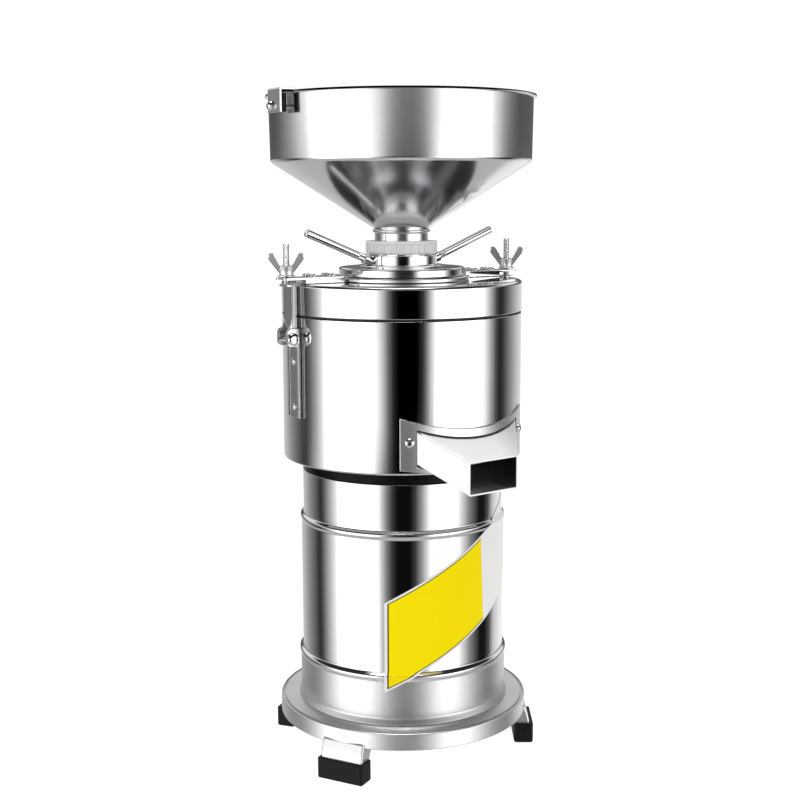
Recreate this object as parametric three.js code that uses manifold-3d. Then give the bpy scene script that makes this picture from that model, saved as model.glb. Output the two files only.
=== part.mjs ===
// Electric peanut and soy mill: a motor in a round steel case carries a grinding drum, whose lid holds
// the stone adjuster and the hopper. Lengths are millimetres, angles are degrees, and +Z is up.
// Heights are stacked from the ground under the rubber shoes. The chute points along -Y.

import * as THREE from 'three';
import { mergeVertices } from 'three/addons/utils/BufferGeometryUtils.js';
import Module from 'manifold-3d';

const wasm = await Module();
wasm.setup();

// Clearances and fineness
const GAP = 0.3;
const ROUND_STEPS = 40;
const INNER_STEPS = 24;
const BORE_STEPS = 20;
const SCREW_STEPS = 10;

// Base casting and its four rubber shoes
const BASE_RADIUS = 123.2;
const BASE_CLEARANCE = 33.4;
const BASE_HEIGHT = 16.6;
const BASE_PLATE = 6;
const BASE_SKIRT_WALL = 6;
const BASE_EDGE = 1.5;
const BASE_VENT_RADIUS = 42;
const LEG_WIDTH = 44;
const LEG_REACH = 127.9;
const LEG_DEPTH = 12.2;
const LEG_SLOPE_DEPTH = 6.2;
const LEG_ROOT_DEPTH = 22.4;
const LEG_TIP_HEIGHT = 21;
const SHOE_FLOOR = 9;
const SHOE_WALL = 2;
const SHOE_TOE_THICKNESS = 3;
const SHOE_HEEL_THICKNESS = 3.4;
const SHOE_HEIGHT = 20;
const FRONT_SHOE_SPREAD = 58.6;
const REAR_SHOE_SPREAD = 142;
const SIDE_TURN = -5.3;

// Motor case with two rolled beads
const CASE_HEIGHT = 231;
const CASE_WALL = 1.5;
const CASE_LOWER_RADIUS = 102.7;
const CASE_MIDDLE_RADIUS = 100.5;
const CASE_UPPER_RADIUS = 98.5;
const CASE_HEM_HEIGHT = 5.4;
const CASE_HEM_RISE = 0.8;
const LOWER_BEAD_HEIGHT = 47.1;
const UPPER_BEAD_HEIGHT = 183.5;
const BEAD_WIDTH = 7;
const BEAD_RISE = 1.2;

// Motor inside the case
const FRAME_RADIUS = 70;
const FRAME_WALL = 5;
const FRAME_HEIGHT = 138;
const BELL_FOOT_RADIUS = 84;
const BELL_FOOT_THICKNESS = 5.7;
const BELL_HEIGHT = 41.7;
const BELL_PLATE = 6;
const BELL_WALL = 7;
const LOWER_BEARING_RADIUS = 18;
const LOWER_BEARING_WIDTH = 12;
const UPPER_BEARING_RADIUS = 20;
const UPPER_BEARING_WIDTH = 13;
const BEARING_LIP = 3;
const BEARING_HUB_WALL = 4.5;
const FLANGE_RADIUS = 98;
const FLANGE_THICKNESS = 12.3;
const FLANGE_HUB_DROP = 20;
const STATOR_LENGTH = 80;
const STATOR_LIFT = 18;
const ROTOR_RADIUS = 36;
const AIR_GAP = 0.8;
const SLOT_COUNT = 12;
const SLOT_WIDTH = 8;
const SLOT_DEPTH = 11;
const SLOT_INSET = 5;
const COIL_END_HEIGHT = 15;
const SHAFT_LOWER_RADIUS = 10;
const SHAFT_CORE_RADIUS = 14;
const SHAFT_UPPER_RADIUS = 12;
const SHAFT_STUD_RADIUS = 6;
const SHAFT_STUD_LENGTH = 30;
const FAN_RADIUS = 56;
const FAN_HEIGHT = 16;
const FAN_DISC = 3;
const FAN_LIFT = 9;
const FAN_BLADES = 8;
const FAN_BLADE_THICKNESS = 2;
const CAPACITOR_RADIUS = 13.5;
const CAPACITOR_LENGTH = 62;
const CAPACITOR_ANGLE = 130;
const CAPACITOR_LIFT = 45;

// Switch and cable gland at the back of the case
const SWITCH_ANGLE = 90;
const SWITCH_LIFT = 120;
const SWITCH_WIDTH = 30;
const SWITCH_HEIGHT = 44;
const SWITCH_RIM = 4;
const SWITCH_FLANGE = 3.5;
const SWITCH_DEPTH = 16;
const ROCKER_DROP = 10;
const ROCKER_TILT = 8;
const ROCKER_EDGE = 3;
const ROCKER_DISH = 2;
const ROCKER_HEEL_DEPTH = 4;
const ROCKER_SIDE_GAP = 2;
const GLAND_LIFT = 26;
const GLAND_RADIUS = 9.5;
const GLAND_BODY_RADIUS = 7.5;
const GLAND_BORE_RADIUS = 3.6;
const GLAND_REACH = 14;
const GLAND_NUT = 7;

// Grinding drum and discharge chute
const DRUM_RADIUS = 116.7;
const DRUM_HEIGHT = 140.2;
const DRUM_WALL = 1.8;
const DRUM_FLOOR = 3;
const DRUM_EDGE = 2;
const SEAL_RADIUS = 25.7;
const SEAL_LIP = 3.3;
const SEAL_RISE = 3;
const CHUTE_WALL = 1.5;
const CHUTE_FLANGE_SPREAD = 37.6;
const CHUTE_FLANGE_HEIGHT = 48;
const CHUTE_FLANGE_LIFT = 4.8;
const CHUTE_INLET_SPREAD = 31;
const CHUTE_INLET_HEIGHT = 31.6;
const CHUTE_INLET_LIFT = 10.8;
const CHUTE_DROP = 27.5;
const CHUTE_REACH = 140;
const CHUTE_MOUTH_WIDTH = 58;
const CHUTE_COLUMNS = 9;
const CHUTE_SCREW_SPREAD = 33.3;
const CHUTE_SCREW_LIFT = 30.8;

// Lid, its seal and the bolted flange on it
const SEAL_RING_THICKNESS = 1.5;
const SEAL_RING_WIDTH = 6;
const LID_RADIUS = 117;
const LID_HEIGHT = 28.8;
const LID_WALL = 2.2;
const LID_TOP = 3;
const LID_EDGE = 2.3;
const LID_FLANGE_RADIUS = 66;
const LID_FLANGE_THICKNESS = 4;
const BOSS_RADIUS = 61;
const BOSS_THICKNESS = 8.1;
const BOSS_TUBE_RADIUS = 37.7;
const BOSS_TUBE_DROP = 26;
const COLLAR_SPIGOT_RADIUS = 32.7;
const COLLAR_SPIGOT_DROP = 30;
const COLLAR_BASE_RADIUS = 42;
const COLLAR_TOP_RADIUS = 33.6;
const COLLAR_HEIGHT = 10.7;
const HANDLE_RADIUS = 3.5;
const HANDLE_START = 33.5;
const HANDLE_END = 102;
const HANDLE_RISE = 21.3;
const HANDLE_SEAT = 5.3;
const HANDLE_ANGLE = 172.5;

// Stones, carriers and feed screw
const WIPER_LIFT = 7;
const WIPER_HEIGHT = 15;
const WIPER_REACH = 110;
const WIPER_THICKNESS = 5;
const WIPER_INSET = 8;
const WIPER_COUNT = 3;
const CARRIER_RADIUS = 66;
const CARRIER_THICKNESS = 8;
const CARRIER_HUB_RADIUS = 24;
const CARRIER_LIFT = 38;
const STONE_RADIUS = 64;
const STONE_THICKNESS = 20;
const STONE_BORE_RADIUS = 22.5;
const STONE_GAP = 1;
const UPPER_CARRIER_THICKNESS = 10;
const FEED_TUBE_RADIUS = 28.5;
const FEED_BORE_RADIUS = 22.5;
const AUGER_RADIUS = 19;
const AUGER_HUB_RADIUS = 10;
const AUGER_CAP_HEIGHT = 12;
const AUGER_CAP_RADIUS = 6;
const AUGER_LENGTH = 46;
const AUGER_TURNS = 1.5;
const AUGER_FLIGHT = 3;

// Union nut and hopper
const NUT_RADIUS = 35;
const NUT_HEIGHT = 12.5;
const NUT_RIBS = 30;
const NUT_RIB_DEPTH = 1;
const NUT_CHAMFER = 2;
const NUT_LIP = 4.7;
const NUT_LIFT = 1.2;
const NECK_RADIUS = 26;
const NECK_FLANGE = 3.5;
const NECK_HEIGHT = 7.5;
const NECK_BEAD_RISE = 1.2;
const NECK_BEAD_HEIGHT = 4;
const HOPPER_WALL = 1.5;
const HOPPER_CONE_HEIGHT = 63.5;
const HOPPER_BAND_HEIGHT = 62.6;
const HOPPER_LIP_RADIUS = 130;
const HOPPER_LIP_OVERHANG = 3.4;
const HOPPER_BAND_TAPER = 1.1;
const HOPPER_UPPER_RADIUS = HOPPER_LIP_RADIUS - HOPPER_LIP_OVERHANG;
const HOPPER_LOWER_RADIUS = HOPPER_UPPER_RADIUS - HOPPER_BAND_TAPER;
const HOPPER_LIP_THICKNESS = 1.8;
const RIM_ANGLE = 175.5;
const RIM_BRACKET_WIDTH = 14;
const RIM_BRACKET_SHEET = 2;
const RIM_BRACKET_DROP = 20;
const RIM_BRACKET_OVERHANG = 8.5;
const RIM_SCREW_DROP = 13.5;
const RIM_SCREW_RADIUS = 2;
const RIM_SCREW_HEAD_RADIUS = 4.5;
const RIM_SCREW_HEAD_HEIGHT = 4;

// Lid clamps
const ARM_WIDTH = 20;
const ARM_THICKNESS = 6;
const ARM_TIP_THICKNESS = 2.5;
const ARM_START = 68;
const ARM_BLOCK_END = 110;
const ARM_TIP_MARGIN = 7;
const ARM_SLOT_WIDTH = 8.4;
const ARM_SCREW_INNER = 81;
const ARM_SCREW_SPACING = 20;
const ARM_SCREW_WIDTH = 12;
const PIVOT_STANDOFF = 8.3;
const PIVOT_DROP = 50.6;
const PIVOT_RADIUS = 3;
const PIVOT_HEAD_RADIUS = 6;
const PIVOT_HEAD_HEIGHT = 4;
const LINK_WIDTH = 16;
const LINK_SHEET = 2;
const LINK_DEPTH = 12;
const LINK_TAPER = 1.5;
const LINK_HEEL_RADIUS = 5;
const LINK_TOP_GAP = 3.5;
const STUD_RADIUS = 3.25;
const STUD_HEIGHT = 31;
const CLAMP_GAP = 0.8;
const WASHER_RADIUS = 8;
const WASHER_THICKNESS = 1.5;
const WING_SPAN = 36;
const WING_HUB_RADIUS = 6.5;
const WING_HUB_HEIGHT = 9;
const WING_HEIGHT = 21;
const WING_THICKNESS = 3;
const WING_LOBE_RADIUS = 4.6;
const WING_TURN = -31;
const BRACKET_WIDTH = 22;
const BRACKET_SHEET = 2.2;
const BRACKET_DROP = 75;
const BRACKET_RISE = 10;
const BRACKET_LIP = 5.5;
const EAR_HEIGHT = 22;
const EAR_MARGIN = 7;
const EAR_CORNER_RADIUS = 4;
const RIVET_RADIUS = 3.4;
const RIVET_HEIGHT = 1.5;
const RIVET_DROPS = [22, 65];

// Small screws
const SCREW_RADIUS = 2;
const SCREW_HEAD_RADIUS = 4.2;
const SCREW_HEAD_HEIGHT = 2.8;
const SCREW_LENGTH = 9;

// Wrap-round sticker on the case
const STICKER_START = -136.5;
const STICKER_END = -43;
const STICKER_HEIGHT = 87;
const STICKER_LIFT = 34.2;
const STICKER_SLOPE = 0.54;
const STICKER_THICKNESS = 0.5;
const STICKER_COLUMNS = 14;

// Heights worked out from the sizes above
const baseTop = BASE_CLEARANCE + BASE_HEIGHT;
const caseBottom = baseTop + GAP;
const caseTop = caseBottom + CASE_HEIGHT;
const flangeBottom = caseTop + GAP;
const flangeTop = flangeBottom + FLANGE_THICKNESS;
const drumBottom = flangeTop + GAP;
const drumTop = drumBottom + DRUM_HEIGHT;
const sealRingBottom = drumTop + GAP;
const lidBottom = sealRingBottom + SEAL_RING_THICKNESS + GAP;
const lidTop = lidBottom + LID_HEIGHT;
const armTop = lidTop + GAP + ARM_THICKNESS;
const lidFlangeTop = lidTop + GAP + LID_FLANGE_THICKNESS;
const bossBottom = lidFlangeTop + GAP;
const bossTop = bossBottom + BOSS_THICKNESS;
const collarBottom = bossTop + 2 * GAP;
const collarTop = collarBottom + COLLAR_HEIGHT;
const nutBottom = collarTop + NUT_LIFT;
const nutTop = nutBottom + NUT_HEIGHT;
const neckFlangeTop = nutTop - NUT_LIP - GAP;
const feedTubeTop = neckFlangeTop - NECK_FLANGE - GAP;
const neckTop = nutTop + NECK_HEIGHT;
const coneBottom = neckTop + NECK_BEAD_HEIGHT;
const coneTop = coneBottom + HOPPER_CONE_HEIGHT;
const hopperTop = coneTop + HOPPER_BAND_HEIGHT;
const bellBottom = baseTop + GAP;
const bellTop = bellBottom + BELL_HEIGHT;
const frameTop = bellTop + GAP + FRAME_HEIGHT;
const statorBottom = bellTop + GAP + STATOR_LIFT;
const statorTop = statorBottom + STATOR_LENGTH;
const carrierBottom = drumBottom + CARRIER_LIFT;
const carrierTop = carrierBottom + CARRIER_THICKNESS;
const lowerStoneTop = carrierTop + GAP + STONE_THICKNESS;
const upperStoneBottom = lowerStoneTop + STONE_GAP;
const upperCarrierBottom = upperStoneBottom + STONE_THICKNESS + GAP;
const upperCarrierTop = upperCarrierBottom + UPPER_CARRIER_THICKNESS;
const pivotHeight = lidTop - PIVOT_DROP;
const washerBottom = armTop + CLAMP_GAP;
const wingBottom = washerBottom + WASHER_THICKNESS;
const studTop = armTop + STUD_HEIGHT;
const chuteInletBottom = drumBottom + CHUTE_INLET_LIFT;
const chuteFlangeRadius = DRUM_RADIUS + GAP;
const pivotReach = DRUM_RADIUS + PIVOT_STANDOFF;
const armEnd = pivotReach + ARM_TIP_MARGIN;
const earReach = pivotReach + EAR_MARGIN;

// Finishes
function finish(color, roughness, metalness) {
  return new THREE.MeshStandardMaterial({ color, roughness, metalness });
}

const polishedSteel = finish(0xd4d6d8, 0.12, 1);
const castAlloy = finish(0xc9cacb, 0.45, 1);
const chrome = finish(0xe3e4e6, 0.08, 1);
const blackEnamel = finish(0x111112, 0.25, 0.2);
const blackRubber = finish(0x141414, 0.7, 0);
const whiteNylon = finish(0xe8e8e4, 0.45, 0);
const castIron = finish(0x5a5c5e, 0.55, 0.8);
const laminatedSteel = finish(0x77797c, 0.5, 0.9);
const copperWire = finish(0xb66a34, 0.35, 0.9);
const bearingSteel = finish(0xb9bcc0, 0.2, 1);
const blackPlastic = finish(0x1a1a1b, 0.4, 0);
const redPlastic = finish(0xb3201a, 0.35, 0);
const greyAbrasive = finish(0x6f6a66, 0.95, 0);
const siliconeRubber = finish(0x2a2b2d, 0.6, 0);
const yellowVinyl = finish(0xf6e500, 0.35, 0);

// Joining and cutting of closed meshes
function solidOf(geometry) {
  const bare = new THREE.BufferGeometry();
  bare.setAttribute('position', geometry.attributes.position.clone());
  if (geometry.index) {
    bare.setIndex(geometry.index.clone());
  }
  const merged = mergeVertices(bare, 1e-4);
  const corners = merged.index.array;
  const kept = [];
  for (let i = 0; i < corners.length; i += 3) {
    const [a, b, c] = [corners[i], corners[i + 1], corners[i + 2]];
    if (a !== b && b !== c && c !== a) {
      kept.push(a, b, c);
    }
  }
  return new wasm.Manifold(new wasm.Mesh({
    numProp: 3,
    vertProperties: Float32Array.from(merged.attributes.position.array),
    triVerts: Uint32Array.from(kept),
  }));
}

function geometryOf(solid) {
  const mesh = solid.getMesh();
  const geometry = new THREE.BufferGeometry();
  geometry.setAttribute('position', new THREE.BufferAttribute(mesh.vertProperties, 3));
  geometry.setIndex(new THREE.BufferAttribute(mesh.triVerts, 1));
  return geometry;
}

function combine(operation, base, tools) {
  let result = solidOf(base);
  for (const tool of tools) {
    result = result[operation](solidOf(tool));
  }
  return geometryOf(result);
}

function join(base, ...tools) {
  return combine('add', base, tools);
}

function cut(base, ...tools) {
  return combine('subtract', base, tools);
}

function common(base, ...tools) {
  return combine('intersect', base, tools);
}

// Basic forms
function outline(points) {
  return points.map(([x, y]) => new THREE.Vector2(x, y));
}

// A ring or cup turned about Z from a closed loop of [radius, height] points.
function turned(points, steps = ROUND_STEPS) {
  const loop = outline(points);
  if (THREE.ShapeUtils.area(loop) < 0) {
    loop.reverse();
  }
  loop.push(loop[0].clone());
  const geometry = new THREE.LatheGeometry(loop, steps);
  geometry.rotateX(Math.PI / 2);
  return geometry;
}

// A solid bar turned about Z from [radius, height] points, closed on the axis at both ends.
function bar(points, steps = BORE_STEPS) {
  const first = points[0];
  const last = points[points.length - 1];
  const loop = outline([[0, first[1]], ...points, [0, last[1]]]);
  if (THREE.ShapeUtils.area(loop) < 0) {
    loop.reverse();
  }
  const geometry = new THREE.LatheGeometry(loop, steps);
  geometry.rotateX(Math.PI / 2);
  return geometryOf(solidOf(geometry));
}

function ring(inner, outer, bottom, top, steps = ROUND_STEPS) {
  return turned([[inner, bottom], [outer, bottom], [outer, top], [inner, top]], steps);
}

function rod(radius, bottom, top, steps = BORE_STEPS) {
  return bar([[radius, bottom], [radius, top]], steps);
}

function block(x0, x1, y0, y1, z0, z1) {
  const geometry = new THREE.BoxGeometry(x1 - x0, y1 - y0, z1 - z0);
  geometry.translate((x0 + x1) / 2, (y0 + y1) / 2, (z0 + z1) / 2);
  return geometry;
}

// A plate whose [x, z] side outline is given, centred on y = 0.
function sidePlate(points, width) {
  const shape = points instanceof THREE.Shape ? points : new THREE.Shape(outline(points));
  const geometry = new THREE.ExtrudeGeometry(shape, { depth: width, bevelEnabled: false, curveSegments: 5 });
  geometry.translate(0, 0, -width / 2);
  geometry.rotateX(Math.PI / 2);
  return geometry;
}

function turnedTo(geometry, degrees) {
  return geometry.clone().rotateZ(THREE.MathUtils.degToRad(degrees));
}

// Lays a bar made along Z along +X, starting at x, at the given height.
function laidAlongX(geometry, x, height, y = 0) {
  return geometry.clone().rotateY(Math.PI / 2).translate(x, y, height);
}

// Lays a bar made along Z along +Y through x and height.
function laidAlongY(geometry, x, height, y = 0) {
  return geometry.clone().rotateX(-Math.PI / 2).translate(x, y, height);
}

// A closed skin between two strips. Each strip is a row of columns with a top and a bottom point.
function stripSolid(near, far) {
  const positions = [];
  const columns = near.length;
  for (const strip of [near, far]) {
    for (const column of strip) {
      positions.push(...column.bottom, ...column.top);
    }
  }
  const at = (strip, column, upper) => (strip * columns + column) * 2 + upper;
  const index = [];
  const quad = (a, b, c, d) => index.push(a, b, c, a, c, d);
  for (let i = 0; i < columns - 1; i += 1) {
    quad(at(0, i, 0), at(0, i, 1), at(0, i + 1, 1), at(0, i + 1, 0));
    quad(at(1, i, 0), at(1, i + 1, 0), at(1, i + 1, 1), at(1, i, 1));
    quad(at(0, i, 1), at(1, i, 1), at(1, i + 1, 1), at(0, i + 1, 1));
    quad(at(0, i, 0), at(0, i + 1, 0), at(1, i + 1, 0), at(1, i, 0));
  }
  const last = columns - 1;
  quad(at(0, 0, 0), at(1, 0, 0), at(1, 0, 1), at(0, 0, 1));
  quad(at(0, last, 0), at(0, last, 1), at(1, last, 1), at(1, last, 0));
  const geometry = new THREE.BufferGeometry();
  geometry.setAttribute('position', new THREE.Float32BufferAttribute(positions, 3));
  geometry.setIndex(index);
  return geometry;
}

function onCircle(radius, degrees, height) {
  const angle = THREE.MathUtils.degToRad(degrees);
  return [radius * Math.cos(angle), radius * Math.sin(angle), height];
}

// The whole machine, and a group for what lies on a radius: there +X points outwards and +Y sideways.
const grinder = new THREE.Group();

function addPart(name, geometry, material, parent = grinder) {
  const mesh = new THREE.Mesh(geometry, material);
  mesh.name = name;
  parent.add(mesh);
  return mesh;
}

function radialGroup(degrees, parent = grinder) {
  const group = new THREE.Group();
  group.rotation.z = THREE.MathUtils.degToRad(degrees);
  parent.add(group);
  return group;
}

// Base casting: a hollow disc with four sloping legs
const shoeAngles = [
  -90 + SIDE_TURN - FRONT_SHOE_SPREAD,
  -90 + SIDE_TURN + FRONT_SHOE_SPREAD,
  -90 + SIDE_TURN + REAR_SHOE_SPREAD,
  -90 + SIDE_TURN - REAR_SHOE_SPREAD,
];
const legBottom = SHOE_FLOOR + GAP;
const legHeel = LEG_REACH - LEG_DEPTH;
const legRoot = LEG_REACH - LEG_ROOT_DEPTH;

function legProfile(clearance, top) {
  return [
    [legRoot - clearance, top],
    [legRoot - clearance, BASE_CLEARANCE - clearance],
    [legHeel - clearance, legBottom - clearance],
    [LEG_REACH + clearance, legBottom - clearance],
    [LEG_REACH + clearance, clearance > 0 ? top : LEG_TIP_HEIGHT],
    [LEG_REACH - LEG_SLOPE_DEPTH, top],
  ];
}

function makeBaseCasting() {
  const skirtInside = BASE_RADIUS - BASE_SKIRT_WALL;
  const plateBottom = baseTop - BASE_PLATE;
  const disc = turned([
    [BASE_VENT_RADIUS, plateBottom],
    [skirtInside, plateBottom],
    [skirtInside, BASE_CLEARANCE],
    [BASE_RADIUS, BASE_CLEARANCE],
    [BASE_RADIUS, baseTop - BASE_EDGE],
    [BASE_RADIUS - BASE_EDGE, baseTop],
    [BASE_VENT_RADIUS, baseTop],
  ]);
  const leg = sidePlate(legProfile(0, plateBottom + BASE_EDGE), LEG_WIDTH);
  return join(disc, ...shoeAngles.map((angle) => turnedTo(leg, angle)));
}

addPart('base_casting', makeBaseCasting(), castAlloy);

// Rubber shoes pushed over the legs
function makeShoe() {
  const shoeReach = LEG_REACH + GAP + SHOE_TOE_THICKNESS;
  const shoeHeel = legHeel - GAP - SHOE_HEEL_THICKNESS;
  const body = sidePlate([
    [shoeHeel, 0],
    [shoeReach, 0],
    [shoeReach, SHOE_HEIGHT],
    [shoeHeel, SHOE_HEIGHT],
  ], LEG_WIDTH + 2 * (GAP + SHOE_WALL));
  return cut(body, sidePlate(legProfile(GAP, baseTop), LEG_WIDTH + 2 * GAP));
}

const shoeGeometry = makeShoe();
shoeAngles.forEach((angle, i) => {
  addPart(`rubber_foot_${i + 1}`, shoeGeometry, blackRubber, radialGroup(angle));
});

// Motor case: rolled sheet with a hem at the foot and two beads, stepping in at each bead
const gland = { height: caseBottom + GLAND_LIFT, radius: GLAND_BODY_RADIUS + GAP };
const switchHeight = caseBottom + SWITCH_LIFT;
const switchBodyWidth = SWITCH_WIDTH - 2 * SWITCH_RIM;
const switchBodyHeight = SWITCH_HEIGHT - 2 * SWITCH_RIM;

function makeMotorCase() {
  const lowerBead = caseBottom + LOWER_BEAD_HEIGHT;
  const upperBead = caseBottom + UPPER_BEAD_HEIGHT;
  const hemTop = caseBottom + CASE_HEM_HEIGHT;
  const flank = BEAD_WIDTH / 2;
  const crown = BEAD_WIDTH / 5;
  const tube = turned([
    [CASE_LOWER_RADIUS + CASE_HEM_RISE, caseBottom],
    [CASE_LOWER_RADIUS + CASE_HEM_RISE, hemTop],
    [CASE_LOWER_RADIUS, hemTop + CASE_HEM_RISE],
    [CASE_LOWER_RADIUS, lowerBead - flank],
    [CASE_LOWER_RADIUS + BEAD_RISE, lowerBead - crown],
    [CASE_LOWER_RADIUS + BEAD_RISE, lowerBead + crown],
    [CASE_MIDDLE_RADIUS, lowerBead + flank],
    [CASE_MIDDLE_RADIUS, upperBead - flank],
    [CASE_MIDDLE_RADIUS + BEAD_RISE, upperBead - crown],
    [CASE_MIDDLE_RADIUS + BEAD_RISE, upperBead + crown],
    [CASE_UPPER_RADIUS, upperBead + flank],
    [CASE_UPPER_RADIUS, caseTop],
    [CASE_UPPER_RADIUS - CASE_WALL, caseTop],
    [CASE_UPPER_RADIUS - CASE_WALL, upperBead + crown],
    [CASE_MIDDLE_RADIUS - CASE_WALL, upperBead - crown],
    [CASE_MIDDLE_RADIUS - CASE_WALL, lowerBead + crown],
    [CASE_LOWER_RADIUS - CASE_WALL, lowerBead - crown],
    [CASE_LOWER_RADIUS - CASE_WALL, caseBottom],
  ]);
  const halfWidth = switchBodyWidth / 2 + GAP;
  const halfHeight = switchBodyHeight / 2 + GAP;
  const switchHole = block(
    FRAME_RADIUS, DRUM_RADIUS, -halfWidth, halfWidth, switchHeight - halfHeight, switchHeight + halfHeight,
  );
  const glandHole = laidAlongX(rod(gland.radius, 0, DRUM_RADIUS - FRAME_RADIUS), FRAME_RADIUS, gland.height);
  return cut(tube, turnedTo(switchHole, SWITCH_ANGLE), turnedTo(glandHole, SWITCH_ANGLE));
}

addPart('motor_case', makeMotorCase(), polishedSteel);

// Lower end bell: stands on the base, holds the lower bearing and encloses the fan
const lowerBearingBottom = bellTop - LOWER_BEARING_WIDTH - GAP;

function makeLowerBell() {
  const plateBottom = bellTop - BELL_PLATE;
  const pocket = LOWER_BEARING_RADIUS + GAP;
  const hub = pocket + BEARING_HUB_WALL;
  const pocketFloor = lowerBearingBottom - GAP;
  const shaftHole = SHAFT_LOWER_RADIUS + 2 * GAP;
  return turned([
    [FRAME_RADIUS - BELL_WALL, bellBottom],
    [BELL_FOOT_RADIUS, bellBottom],
    [BELL_FOOT_RADIUS, bellBottom + BELL_FOOT_THICKNESS],
    [FRAME_RADIUS, bellBottom + BELL_FOOT_THICKNESS],
    [FRAME_RADIUS, bellTop],
    [pocket, bellTop],
    [pocket, pocketFloor],
    [shaftHole, pocketFloor],
    [shaftHole, pocketFloor - BEARING_LIP],
    [hub, pocketFloor - BEARING_LIP],
    [hub, plateBottom],
    [FRAME_RADIUS - BELL_WALL, plateBottom],
  ], INNER_STEPS);
}

addPart('lower_end_bell', makeLowerBell(), castIron);
addPart(
  'motor_frame',
  ring(FRAME_RADIUS - FRAME_WALL, FRAME_RADIUS, bellTop + GAP, frameTop, INNER_STEPS),
  castAlloy,
);

// Top flange: the black ring between case and drum, with a neck on the frame and the upper bearing
const upperBearingTop = flangeBottom - BEARING_LIP;
const upperBearingBottom = upperBearingTop - UPPER_BEARING_WIDTH;

function makeTopFlange() {
  const pocket = UPPER_BEARING_RADIUS + GAP;
  const hub = pocket + BEARING_HUB_WALL;
  const lipBottom = flangeBottom - FLANGE_HUB_DROP;
  const shaftHole = SHAFT_CORE_RADIUS + 2 * GAP;
  return turned([
    [FRAME_RADIUS - FRAME_WALL, frameTop + GAP],
    [FRAME_RADIUS, frameTop + GAP],
    [FRAME_RADIUS, flangeBottom],
    [FLANGE_RADIUS, flangeBottom],
    [FLANGE_RADIUS, flangeTop],
    [pocket, flangeTop],
    [pocket, upperBearingBottom - GAP],
    [shaftHole, upperBearingBottom - GAP],
    [shaftHole, lipBottom],
    [hub, lipBottom],
    [hub, flangeBottom],
    [FRAME_RADIUS - FRAME_WALL, flangeBottom],
  ]);
}

addPart('motor_top_flange', makeTopFlange(), blackEnamel);

function makeBearing(shaftRadius, outerRadius, bottom, width) {
  return ring(shaftRadius + GAP, outerRadius, bottom, bottom + width, BORE_STEPS);
}

addPart(
  'lower_bearing',
  makeBearing(SHAFT_LOWER_RADIUS, LOWER_BEARING_RADIUS, lowerBearingBottom, LOWER_BEARING_WIDTH),
  bearingSteel,
);
addPart(
  'upper_bearing',
  makeBearing(SHAFT_UPPER_RADIUS, UPPER_BEARING_RADIUS, upperBearingBottom, UPPER_BEARING_WIDTH),
  bearingSteel,
);

// Stator core with slots, and one winding whose bars run through them
const slotInner = ROTOR_RADIUS + AIR_GAP + SLOT_INSET;

function slotBars(clearance, bottom, top) {
  const bars = [];
  const half = SLOT_WIDTH / 2 + clearance;
  const slot = block(slotInner - clearance, slotInner + SLOT_DEPTH + clearance, -half, half, bottom, top);
  for (let i = 0; i < SLOT_COUNT; i += 1) {
    bars.push(turnedTo(slot, (i * 360) / SLOT_COUNT));
  }
  return bars;
}

function makeStatorCore() {
  const outer = FRAME_RADIUS - FRAME_WALL - GAP;
  const core = ring(ROTOR_RADIUS + AIR_GAP, outer, statorBottom, statorTop, INNER_STEPS);
  return cut(core, ...slotBars(GAP, statorBottom - 1, statorTop + 1));
}

function makeWinding() {
  const lowerEnd = statorBottom - GAP - COIL_END_HEIGHT;
  const upperEnd = statorTop + GAP;
  const outer = slotInner + SLOT_DEPTH + 1;
  return join(
    ring(slotInner - 1, outer, lowerEnd, lowerEnd + COIL_END_HEIGHT, BORE_STEPS),
    ring(slotInner - 1, outer, upperEnd, upperEnd + COIL_END_HEIGHT, BORE_STEPS),
    ...slotBars(0, statorBottom - 2 * GAP, statorTop + 2 * GAP),
  );
}

addPart('stator_core', makeStatorCore(), laminatedSteel);
addPart('stator_winding', makeWinding(), copperWire);

// Run capacitor against the frame
const capacitorBottom = bellTop + CAPACITOR_LIFT;
const capacitor = rod(CAPACITOR_RADIUS, capacitorBottom, capacitorBottom + CAPACITOR_LENGTH, 16);
capacitor.translate(FRAME_RADIUS + GAP + CAPACITOR_RADIUS, 0, 0);
addPart('run_capacitor', capacitor, blackPlastic, radialGroup(CAPACITOR_ANGLE));

// Rotor, shaft and fan
const fanBottom = bellBottom + FAN_LIFT;
const shaftBottom = fanBottom - 2 * GAP;
const shaftShoulder = carrierBottom - 1;
const studEnd = lowerStoneTop + SHAFT_STUD_LENGTH;

addPart('motor_shaft', bar([
  [SHAFT_LOWER_RADIUS, shaftBottom],
  [SHAFT_LOWER_RADIUS, bellTop + GAP],
  [SHAFT_CORE_RADIUS, bellTop + GAP],
  [SHAFT_CORE_RADIUS, upperBearingBottom - GAP],
  [SHAFT_UPPER_RADIUS, upperBearingBottom - GAP],
  [SHAFT_UPPER_RADIUS, carrierTop - GAP],
  [SHAFT_STUD_RADIUS, carrierTop - GAP],
  [SHAFT_STUD_RADIUS, studEnd],
]), bearingSteel);

addPart(
  'rotor_core',
  ring(SHAFT_CORE_RADIUS + GAP, ROTOR_RADIUS, statorBottom - 2, statorTop + 2, INNER_STEPS),
  laminatedSteel,
);

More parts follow.
